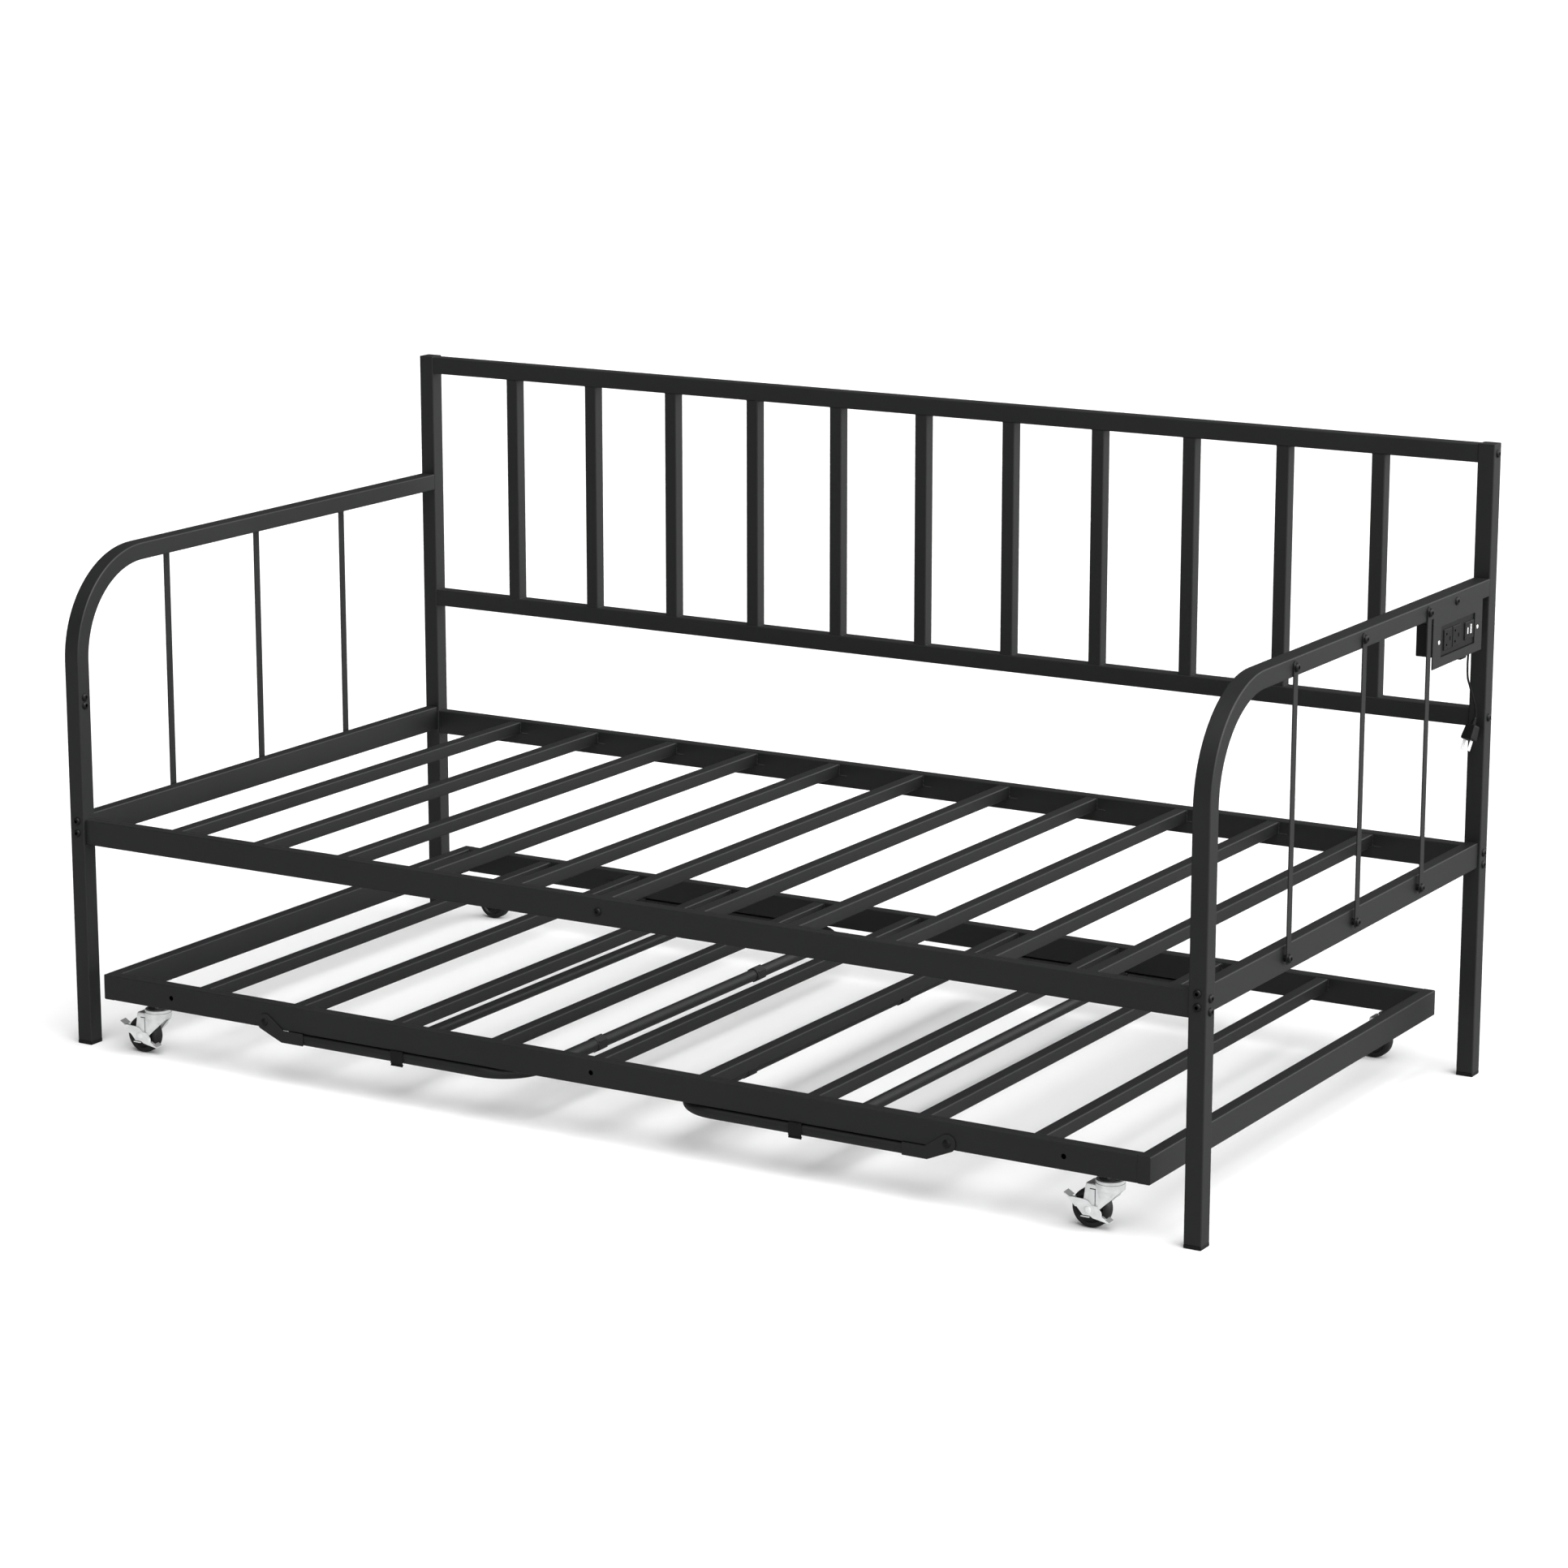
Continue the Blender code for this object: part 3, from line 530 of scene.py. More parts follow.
def tube_in_box(low, high, axis, name, body, hides, shut=()):
    """A hollow tube that fills a box. Its ends are open, apart from those in shut: -1 low, 1 high."""
    sizes = bpy.context.scene.daybed_sizes
    bm = bmesh.new()
    size, at = high - low, (low + high) / 2
    way = "xyz".index(axis)
    edges = edges_at(add_cube(bm, size, at))
    long = [e for e in edges if abs((e.verts[0].co - e.verts[1].co).normalized()[way]) > 0.99]
    round_edges(bm, long, sizes.tube_corner, 5)
    ends = [f for f in bm.faces if abs(f.normal[way]) > 0.99]
    opened = [f for f in ends if round(f.normal[way]) not in shut]
    bmesh.ops.delete(bm, geom=opened, context="FACES")
    if shut:
        rims = [e for f in ends if f.is_valid for e in f.edges]
        round_edges(bm, rims, 0.0006)
    return piece(bm, name, body, "coat", hides, sizes.tube_wall, clean=False)


def tube_for(node, axis, body, shut=()):
    return tube_in_box(*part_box(node), axis, f"{node}_tube", body, [node], shut)


def add_bolt(bm, at, way, washer=0.0):
    """A button-head bolt with a hex socket, facing way, with a washer under it if that has a radius."""
    sizes = bpy.context.scene.daybed_sizes
    radius, rise = sizes.bolt_radius, sizes.bolt_rise
    lift = 0.0012 if washer else 0.0
    head = Matrix.Translation(at) @ Vector(way).to_track_quat("Z", "Y").to_matrix().to_4x4()
    if washer:
        shift = head @ Matrix.Translation((0, 0, lift / 2))
        bmesh.ops.create_cone(
            bm, cap_ends=True, segments=24, radius1=washer, radius2=washer * 0.96, depth=lift, matrix=shift
        )
    ring = bmesh.ops.create_circle(
        bm, cap_ends=True, segments=24, radius=radius, matrix=head @ Matrix.Translation((0, 0, lift))
    )["verts"]
    edges = edges_at(ring)
    for share, height in ((1.0, 0.28), (0.97, 0.5), (0.86, 0.78), (0.68, 0.95), (0.55, 1.0)):
        made = bmesh.ops.extrude_edge_only(bm, edges=edges)["geom"]
        edges = only(BMEdge, made)
        set_ring(only(BMVert, made), head, radius * share, lift + rise * height)
    top = head @ Matrix.Translation((0, 0, lift + rise))
    hexagon = bmesh.ops.create_circle(bm, cap_ends=False, segments=6, radius=radius * 0.44, matrix=top)
    inner = edges_at(hexagon["verts"])
    bmesh.ops.bridge_loops(bm, edges=[*edges, *inner])
    down = run_on(bm, inner, head.to_3x3() @ Vector((0, 0, -0.6 * rise)))
    bmesh.ops.contextual_create(bm, geom=down)


def set_ring(verts, head, radius, height):
    """Moves a ring of corners to a radius and height on a bolt's axis."""
    back = head.inverted()
    for vert in verts:
        local = back @ vert.co
        flat = Vector((local.x, local.y, 0)).normalized() * radius
        vert.co = head @ Vector((flat.x, flat.y, height))


# Builders


class Builder:
    """What the panel's operators share."""

    bl_options = {"REGISTER"}

    def execute(self, context):
        self.sizes = context.scene.daybed_sizes
        self.build()
        return {"FINISHED"}


class DAYBED_OT_arms(Builder, bpy.types.Operator):
    """Bend each front leg and arm rail from one square tube"""

    bl_idname = "daybed.arms"
    bl_label = "Arms"

    def build(self):
        for side, _ in SIDES:
            self.bend_arm(f"arm_{side}")

    def bend_arm(self, name):
        """One tube: up as the front leg, round the bend and back as the arm rail."""
        low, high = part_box(name)
        x, half = (low.x + high.x) / 2, POST_WIDE / 2
        radius = self.sizes.bend_radius
        y, z = low.y + half, high.z - half
        bm = bmesh.new()
        ring = square_ring(bm, POST_WIDE, self.sizes.tube_corner, (x, y, low.z))
        ring = run_on(bm, ring, (0, 0, z - radius - low.z))
        centre = (x, y + radius, z - radius)
        ring = bend_on(bm, ring, centre, (1, 0, 0), -math.pi / 2, self.sizes.bend_steps)
        run_on(bm, ring, (0, high.y - y - radius, 0))
        merge(bm)
        face_out(bm, (1, 0, 0))
        piece(bm, f"{name}_tube", "daybed", "coat", [name], self.sizes.tube_wall, clean=False)


class DAYBED_OT_posts(Builder, bpy.types.Operator):
    """Make the two rear posts with their shut tops"""

    bl_idname = "daybed.posts"
    bl_label = "Rear posts"

    def build(self):
        for side, _ in SIDES:
            tube_for(f"rear_post_{side}", "z", "daybed", (1,))


class DAYBED_OT_feet(Builder, bpy.types.Operator):
    """Mould the plastic foot in each post"""

    bl_idname = "daybed.feet"
    bl_label = "Feet"

    def build(self):
        for side, _ in SIDES:
            for end in ("front", "rear"):
                self.foot(f"foot_{end}_{side}")

    def foot(self, node):
        """A rim under the post, and a crossed plug inside it."""
        low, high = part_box(node)
        at = (low + high) / 2
        bm = bmesh.new()
        rim = 0.006
        add_box(bm, (high.x - low.x, high.y - low.y, rim), (at.x, at.y, low.z + rim / 2), 0.0012, 3)
        plug = POST_WIDE - 2 * self.sizes.tube_wall - 0.0006
        top = high.z - low.z - rim
        for turn in (0, 1):
            across = (plug, plug / 4) if turn else (plug / 4, plug)
            add_box(bm, (*across, top), (at.x, at.y, low.z + rim + top / 2 - 0.0002), 0.0006)
        piece(bm, f"{node}_moulding", "daybed", "foot", [node], clean=False)


class DAYBED_OT_back(Builder, bpy.types.Operator):
    """Weld the back panel from its two rails and eleven balusters"""

    bl_idname = "daybed.back"
    bl_label = "Back panel"

    def build(self):
        low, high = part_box("back_panel")
        rail, half = 0.0277, 0.011
        low_rail, top_rail = (low.z, low.z + rail), (high.z - rail, high.z)
        for name, (bottom, top) in (("low", low_rail), ("top", top_rail)):
            ends = (Vector((low.x, low.y, bottom)), Vector((high.x, high.y, top)))
            hides = ["back_panel"] if name == "top" else []
            tube_in_box(*ends, "x", f"back_{name}_rail", "daybed", hides)
        y = (low.y + high.y) / 2
        beads = bmesh.new()
        for i, x in enumerate(SLAT_XS):
            a = Vector((x - half, y - half, low_rail[1]))
            b = Vector((x + half, y + half, top_rail[0]))
            tube_in_box(a, b, "z", f"baluster_{i + 1:02d}", "daybed", [])
            for z, nudge in ((a.z, 0.0002), (b.z, -0.0002)):
                for side in (-1, 1):
                    near = x + side * (half + 0.0001)
                    add_bead(beads, (near, a.y + 0.002, z + nudge), (near, b.y - 0.002, z + nudge), 0.0007)
        piece(beads, "back_welds", "daybed", "coat", clean=False)


class DAYBED_OT_deck(Builder, bpy.types.Operator):
    """Make the deck's rails and slats, with the welds at each slat"""

    bl_idname = "daybed.deck"
    bl_label = "Deck"

    def build(self):
        for end in ("front", "rear"):
            tube_for(f"deck_rail_{end}", "x", "daybed")
        for side, _ in SIDES:
            tube_for(f"side_rail_{side}", "y", "daybed")
        for node in DECK_SLATS:
            tube_for(node, "y", "daybed")
        beads = bmesh.new()
        weld_slats(beads, DECK_SLATS, self.sizes.bead_radius)
        self.stitch_rear(beads)
        piece(beads, "deck_welds", "daybed", "coat", clean=False)

    def stitch_rear(self, beads):
        """Short stitches along the rear rail's inner face, on both sides of each slat."""
        low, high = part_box("deck_rail_rear")
        z, y, gap, long = high.z - 0.0205, low.y, 0.013, 0.011
        for x in SLAT_XS:
            for side in (-1, 1):
                start = x + side * gap
                add_bead(beads, (start, y, z), (start + side * long, y, z), self.sizes.bead_radius * 0.8)


def weld_slats(beads, nodes, radius):
    """A dashed bead down both sides of each end of each slat."""
    for node in nodes:
        low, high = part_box(node)
        for x in (low.x - 0.0002, high.x + 0.0002):
            for y in (low.y + 0.0002, high.y - 0.0002):
                for drop in (0.0015, 0.0085, 0.0155):
                    top = high.z - drop
                    add_bead(beads, (x, y, top), (x, y, top - 0.0038), radius * 0.85)


class DAYBED_OT_bars(Builder, bpy.types.Operator):
    """Cut the flat bars on the arms, with their bolts, washers and spacers"""

    bl_idname = "daybed.bars"
    bl_label = "Arm bars"

    def build(self):
        bolts = bmesh.new()
        spacers = bmesh.new()
        for side, sign in SIDES:
            for place in ("front", "middle", "rear"):
                self.bar(f"arm_bar_{side}_{place}", sign, bolts, spacers)
        z = ARM_TOP - POST_WIDE / 2
        plate_bolt = MIDDLE_Y + 0.338
        add_bolt(bolts, (POST_OUT, plate_bolt, z), (1, 0, 0))
        piece(bolts, "bar_bolts", "daybed", "bolt", clean=False)
        piece(spacers, "bar_spacers", "daybed", "bolt", clean=False)

    def bar(self, node, sign, bolts, spacers):
        """A flat bar with round ends, a bolt through each end and a spacer behind the lower one."""
        low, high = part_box(node)
        half, tall = (high.y - low.y) / 2, (high.z - low.z) / 2
        at = (low + high) / 2
        bm = bmesh.new()
        reach = tall - half
        outline = arc((0, reach), half, 0, 180, 14) + arc((0, -reach), half, 180, 360, 14)
        matrix = Matrix.Translation(at) @ Matrix.Rotation(math.pi / 2, 4, "Z")
        add_plate(bm, outline, high.x - low.x, matrix, 0.0003)
        piece(bm, f"{node}_flat", "daybed", "coat", [node])
        face = high.x if sign > 0 else low.x
        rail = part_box("side_rail_right")[1].x * sign
        inset, washer = 0.009, 0.0072
        for z in (high.z - inset, low.z + inset):
            add_bolt(bolts, (face, at.y, z), (sign, 0, 0), washer)
        gap = abs(low.x if sign > 0 else high.x) - abs(rail)
        x = rail + sign * gap / 2
        add_rod(spacers, 0.005, gap, "x", (x, at.y, low.z + inset), 20)


def arc(centre, radius, start, end, steps):
    """Points on an arc from start to end, in degrees."""
    turns = [math.radians(start + (end - start) * i / steps) for i in range(steps + 1)]
    return [(centre[0] + radius * math.cos(t), centre[1] + radius * math.sin(t)) for t in turns]


class DAYBED_OT_bolts(Builder, bpy.types.Operator):
    """Fit the bolts that hold the daybed together"""

    bl_idname = "daybed.bolts"
    bl_label = "Frame bolts"

    def build(self):
        bm = bmesh.new()
        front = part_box("arm_right")[0].y
        rear = centre_of("rear_post_right").y
        middle = front + POST_WIDE / 2
        front_rail, side_rail = (0.361, 0.342), (0.353, 0.3346)
        back_rails, inside = (0.966, 0.5635), (0.558, 0.545)
        for _, sign in SIDES:
            x = sign * (POST_IN + POST_WIDE / 2)
            for z in front_rail:
                add_bolt(bm, (x, front, z), (0, -1, 0))
            for y in (middle, rear):
                for z in side_rail:
                    add_bolt(bm, (sign * POST_OUT, y, z), (sign, 0, 0))
            for z in back_rails:
                add_bolt(bm, (sign * POST_OUT, rear, z), (sign, 0, 0))
            for z in inside:
                add_bolt(bm, (sign * POST_IN, middle, z), (-sign, 0, 0))
        add_bolt(bm, (0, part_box("deck_rail_front")[0].y, 0.344), (0, -1, 0))
        piece(bm, "frame_bolts", "daybed", "bolt", clean=False)


class DAYBED_OT_outlet(Builder, bpy.types.Operator):
    """Fold the outlet plate and fit the unit with its sockets and charging ports"""

    bl_idname = "daybed.outlet"
    bl_label = "Outlet"

    def build(self):
        self.low, self.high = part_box("outlet_plate")
        self.at = (MIDDLE_Y + 0.346, 0.713)
        self.screw_ys = (MIDDLE_Y + 0.275, MIDDLE_Y + 0.421)
        self.plate()
        self.unit()
        for y in (0.3098, 0.342):
            self.socket(MIDDLE_Y + y)
        self.ports(MIDDLE_Y + 0.391)

    def plate(self):
        """The folded sheet: a face flush with the arm's, and a return under it and up behind the rail."""
        low, high, sheet = self.low, self.high, 0.002
        long, y = high.y - low.y, (high.y + low.y) / 2
        top, fold = ARM_TOP - POST_WIDE + 0.0021, high.z - 0.024
        bm = bmesh.new()
        front = (high.x - sheet / 2 - 0.00002, y, (top + low.z) / 2)
        add_box(bm, (sheet, long, top - low.z), front, 0.0002, 1)
        made = piece(bm, "outlet_plate_face", "daybed", "coat", ["outlet_plate"], clean=False)
        holes = bmesh.new()
        centre_y, z = self.at
        window = (0.012, 0.1286, 0.0466)
        add_box(holes, window, (high.x, centre_y, z), 0.001)
        for hole in self.screw_ys:
            add_rod(holes, 0.0035, 0.012, "x", (high.x, hole, z), 24)
        carve(made, holes)
        back = bmesh.new()
        under = ((high.x - sheet + low.x) / 2, y, fold - sheet / 2)
        add_box(back, (high.x - low.x - sheet, long, sheet), under, 0.0003)
        behind = (low.x + sheet / 2, y, (high.z + fold - sheet) / 2)
        add_box(back, (sheet, long, high.z - fold + sheet), behind, 0.0006)
        piece(back, "outlet_plate_return", "daybed", "coat", clean=False)
        screws = bmesh.new()
        head = in_mm((0, 0), (3.4, 0), (3.4, 1.6), (3.0, 2.2), (1.8, 2.6), (0, 2.7))
        for hole in self.screw_ys:
            add_turned(screws, head, "x", (high.x - sheet, hole, z), 24)
        piece(screws, "outlet_screws", "daybed", "contact")

    def unit(self):
        """The housing behind the plate, with its ribs and the cord's gland."""
        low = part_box("outlet_unit")[0]
        y, z = self.at
        face = self.high.x - 0.0023
        bm = bmesh.new()
        add_box(bm, (face - low.x - 0.001, 0.132, 0.050), ((low.x + face - 0.001) / 2, y, z), 0.0016, 3)
        add_box(bm, (0.0016, 0.1272, 0.0452), (face - 0.0004, y, z), 0.0005)
        for i in range(5):
            add_box(bm, (0.016, 0.0012, 0.0508), (low.x + 0.014, y - 0.044 + 0.022 * i, z), 0.0004)
        gland = (0.968, MIDDLE_Y + 0.391, 0.6785)
        add_box(bm, (0.008, 0.022, 0.021), gland, 0.0016, 3)
        piece(bm, "outlet_housing", "daybed", "plastic", ["outlet_unit"], clean=False)

    def socket(self, y):
        """A raised block with two blade slots and an earth slot, each a pocket with a near-black sheet inside
        as painted shade.
        """
        x, z = self.high.x - 0.0018, self.at[1]
        bm = bmesh.new()
        add_box(bm, (0.0034, 0.030, 0.031), (x, y, z), 0.0011, 3)
        name = "first" if y < self.at[0] - 0.02 else "second"
        made = piece(bm, f"socket_{name}", "daybed", "plastic", clean=False)
        slots, shade_sheets = bmesh.new(), bmesh.new()
        blade, earth = (0.0044, 0.0034), (0.0034, 0.0060)
        for dy, dz, opening in ((-0.0062, 0.0082, blade), (-0.0062, -0.0082, blade), (0.0066, 0, earth)):
            add_box(slots, (0.0068, *opening), (x, y + dy, z + dz))
            # A near-black sheet deep in each slot paints the shade inside it.
            add_box(shade_sheets, (0.0006, *opening), (x - 0.0014, y + dy, z + dz))
        carve(made, slots)
        piece(shade_sheets, f"socket_{name}_painted_shade", "daybed", "shadow", clean=False)

    def ports(self, y):
        """The charging block: a narrow port with its bright tongue, and a taller one with a bright shell."""
        x, z = self.high.x - 0.0018, self.at[1]
        bm = bmesh.new()
        add_box(bm, (0.0034, 0.0335, 0.0270), (x, y, z), 0.0011, 3)
        made = piece(bm, "charging_block", "daybed", "plastic", clean=False)
        slots, metal = bmesh.new(), bmesh.new()
        narrow, tall = y - 0.0058, y + 0.0056
        add_box(slots, (0.0068, 0.0052, 0.0112), (x, narrow, z - 0.0005))
        add_box(metal, (0.0028, 0.0040, 0.0098), (x, narrow, z - 0.0005), 0.0004)
        add_box(slots, (0.0068, 0.0068, 0.0146), (x, tall, z + 0.0010))
        for side in (-1, 1):
            add_box(metal, (0.0030, 0.0013, 0.0140), (x, tall + side * 0.0026, z + 0.0010), 0.0003)
            add_box(metal, (0.0030, 0.0062, 0.0012), (x, tall, z + 0.0010 + side * 0.0064), 0.0003)
        add_box(metal, (0.0020, 0.0011, 0.0100), (x - 0.0005, tall + 0.0003, z + 0.0010), 0.0003)
        carve(made, slots)
        piece(metal, "charging_port_metal", "daybed", "contact", clean=False)


class DAYBED_OT_cord(Builder, bpy.types.Operator):
    """Hang the outlet's short cord and shape its plug"""

    bl_idname = "daybed.cord"
    bl_label = "Cord and plug"

    def build(self):
        points = even_points(self.route(), 44)
        curve = bpy.data.curves.new("outlet_cord", "CURVE")
        curve.dimensions = "3D"
        curve.bevel_depth = self.sizes.cord_diameter / 2
        curve.bevel_resolution = 5
        curve.use_fill_caps = True
        line = curve.splines.new("POLY")
        line.points.add(len(points) - 1)
        for spot, at in zip(line.points, points):
            spot.co = (*at, 1)
        line.use_smooth = True
        cord = add_object("outlet_cord", curve)
        curve.materials.append(finish_of("sheath"))
        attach(cord, "daybed")
        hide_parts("cord")
        plug = self.plug(points[-1])
        length = sum((b - a).length for a, b in zip(points, points[1:]))

    def route(self):
        """Straight out of the gland, a quarter turn down, and along the hanging run to the plug."""
        x, start, exit_z, bend = 0.968, 0.4023, 0.684, 0.0128
        turn = arc((start + 0.003, exit_z - bend), bend, 90, 0, 4)
        hang = (
            (0.4168, 0.6540),
            (0.4195, 0.6340),
            (0.4290, 0.6193),
            (0.4432, 0.5988),
            (0.4543, 0.5803),
            (0.4562, 0.5670),
        )
        return [Vector((x, y + MIDDLE_Y, z)) for y, z in [(start, exit_z), *turn, *hang]]

    def plug(self, end):
        """A ribbed neck, a waisted body and two bright blades, in the direction the cord arrives."""
        way = Vector((-0.12, -0.42, -0.90)).normalized()
        start = end + way * (self.sizes.cord_diameter / 4 + 0.0003)
        matrix = Matrix.Translation(start) @ way.to_track_quat("Z", "X").to_matrix().to_4x4()
        bm = bmesh.new()
        neck = [(0.0, 0.0), (0.0021, 0.0)]
        for i in range(5):
            z, radius = 0.0012 + i * 0.0021, 0.0022 + i * 0.0003
            neck += [(radius + 0.0003, z), (radius + 0.0003, z + 0.0012), (radius - 0.0001, z + 0.0013)]
        neck += [(0.0036, 0.0122), (0.0, 0.0122)]
        add_turned(bm, neck, "z", (0, 0, 0), 24)
        merge(bm)
        self.plug_body(bm)
        bmesh.ops.transform(bm, matrix=matrix, verts=bm.verts)
        body = piece(bm, "plug_moulding", "daybed", "sheath", ["plug"], clean=False)
        blades = bmesh.new()
        for side in (-1, 1):
            add_box(blades, (0.0063, 0.0015, 0.0165), (0, side * 0.00635, 0.0438), 0.0005)
        bmesh.ops.transform(blades, matrix=matrix, verts=blades.verts)
        made = piece(blades, "plug_blades", "daybed", "contact", clean=False)
        return [body, made]

    def plug_body(self, bm):
        """A waisted body, narrower where the neck joins it."""
        middle, long = 0.0238, 0.024
        corners = add_cube(bm, (0.016, 0.022, long), (0, 0, middle))
        near = [v for v in corners if v.co.z < middle]
        bmesh.ops.scale(bm, verts=near, vec=(0.84, 0.84, 1))
        round_edges(bm, edges_at(corners), 0.0026, 4)


def even_points(route, count):
    """Evenly spread points on a smooth curve through the route."""
    ends = [2 * route[0] - route[1], *route, 2 * route[-1] - route[-2]]
    fine = []
    for a, b, c, d in zip(ends, ends[1:], ends[2:], ends[3:]):
        for step in range(20):
            t = step / 20
            bow = (2 * a - 5 * b + 4 * c - d) * t**2 + (3 * b - a - 3 * c + d) * t**3
            fine.append(0.5 * (2 * b + (c - a) * t + bow))
    fine.append(ends[-2])
    reach = [0.0]
    for a, b in zip(fine, fine[1:]):
        reach.append(reach[-1] + (b - a).length)
    spread = []
    for i in range(count):
        want = reach[-1] * i / (count - 1)
        k = min(max(j for j, r in enumerate(reach) if r <= want + 1e-12), len(fine) - 2)
        spread.append(fine[k].lerp(fine[k + 1], (want - reach[k]) / (reach[k + 1] - reach[k])))
    return spread


class DAYBED_OT_trundle(Builder, bpy.types.Operator):
    """Weld the trundle's frame and slats, with the caster plates under it"""

    bl_idname = "daybed.trundle"
    bl_label = "Trundle"

    def build(self):
        for side, _ in SIDES:
            tube_for(f"trundle_side_rail_{side}", "y", "trundle", (-1, 1))
        for node in TRUNDLE_SLATS:
            tube_for(node, "y", "trundle")
        low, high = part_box("trundle_side_rail_right")
        inside = low.x - 0.0003
        for end, y in (("front", low.y), ("rear", high.y - TRUNDLE_RAIL_DEEP)):
            a, b = Vector((-inside, y, low.z)), Vector((inside, y + TRUNDLE_RAIL_DEEP, high.z))
            node = f"trundle_rail_{end}"
            made = tube_in_box(a, b, "x", f"{node}_tube", "trundle", [node])
            if end == "front":
                self.drill(made, y, (low.z + high.z) / 2)
            self.plates(end, y + TRUNDLE_RAIL_DEEP)
        beads = bmesh.new()
        weld_slats(beads, TRUNDLE_SLATS, self.sizes.bead_radius)
        self.corners(beads, low, high)
        piece(beads, "trundle_welds", "trundle", "coat", clean=False)

    def drill(self, rail, y, z):
        """Three holes in the front rail's face."""
        holes, from_middle = bmesh.new(), 0.777
        for x in (-from_middle, 0.0, from_middle):
            add_rod(holes, 0.004, 0.006, "y", (x, y, z), 24)
        carve_wall(rail, holes)

    def corners(self, beads, low, high):
        """A bead down the inside of each corner of the frame, and a ground joint outside."""
        deep, edge, end = TRUNDLE_RAIL_DEEP + 0.0002, 0.00125, 0.010
        middle_z, radius = (low.z + high.z) / 2, self.sizes.bead_radius
        for _, sign in SIDES:
            x, joint = sign * (low.x - 0.0002), sign * (low.x - 0.00015)
            for y in (low.y + deep, high.y - deep):
                add_bead(beads, (x, y, high.z - 0.003), (x, y, low.z + 0.003), radius)
            for y in (low.y + edge, high.y - edge):
                add_box(beads, (0.0044, 0.0021, 0.0362), (joint, y, middle_z), 0.0001, 1)
            for z in (low.z + edge, high.z - edge):
                for y in (low.y + end, high.y - end):
                    add_box(beads, (0.0044, 0.0160, 0.0021), (joint, y, z), 0.0001, 1)

    def plates(self, end, back):
        """Each caster's fixed plate, the nut under it and the stem."""
        steel, bright = bmesh.new(), bmesh.new()
        dust_ring = in_mm((5.6, 74.3), (15.0, 74.3), (16.0, 74.5), (16.0, 74.8), (5.6, 75.2))
        from_middle, plate_z, bead_z, nut_z, stem_z = 0.832, 0.0996, 0.0978, 0.0943, 0.0822
        for _, sign in SIDES:
            x, y = sign * from_middle, back + 0.0156
            add_box(steel, (0.034, 0.0328, 0.0032), (x, back + 0.0162, plate_z), 0.0008)
            add_bead(steel, (x - 0.015, back, bead_z), (x + 0.015, back, bead_z), 0.0012)
            add_turned(steel, dust_ring, "z", (x, y, 0))
            add_rod(bright, 0.0096, 0.0070, "z", (x, y, nut_z), 6, 0.0006)
            add_rod(bright, 0.0050, 0.0440, "z", (x, y, stem_z), 24, 0.0004)
        piece(steel, f"caster_plates_{end}", "trundle", "coat")
        piece(bright, f"caster_stems_{end}", "trundle", "zinc")


def carve_wall(made, cutter):
    """Cuts a piece that has a wall, with the wall made solid first."""
    wall = made.modifiers["wall"]
    flat = made.modifiers["flat_faces"]
    flat.show_viewport = False
    mesh = shape_now(made)
    made.modifiers.remove(wall)
    made.data = mesh
    flat.show_viewport = True
    carve(made, cutter)


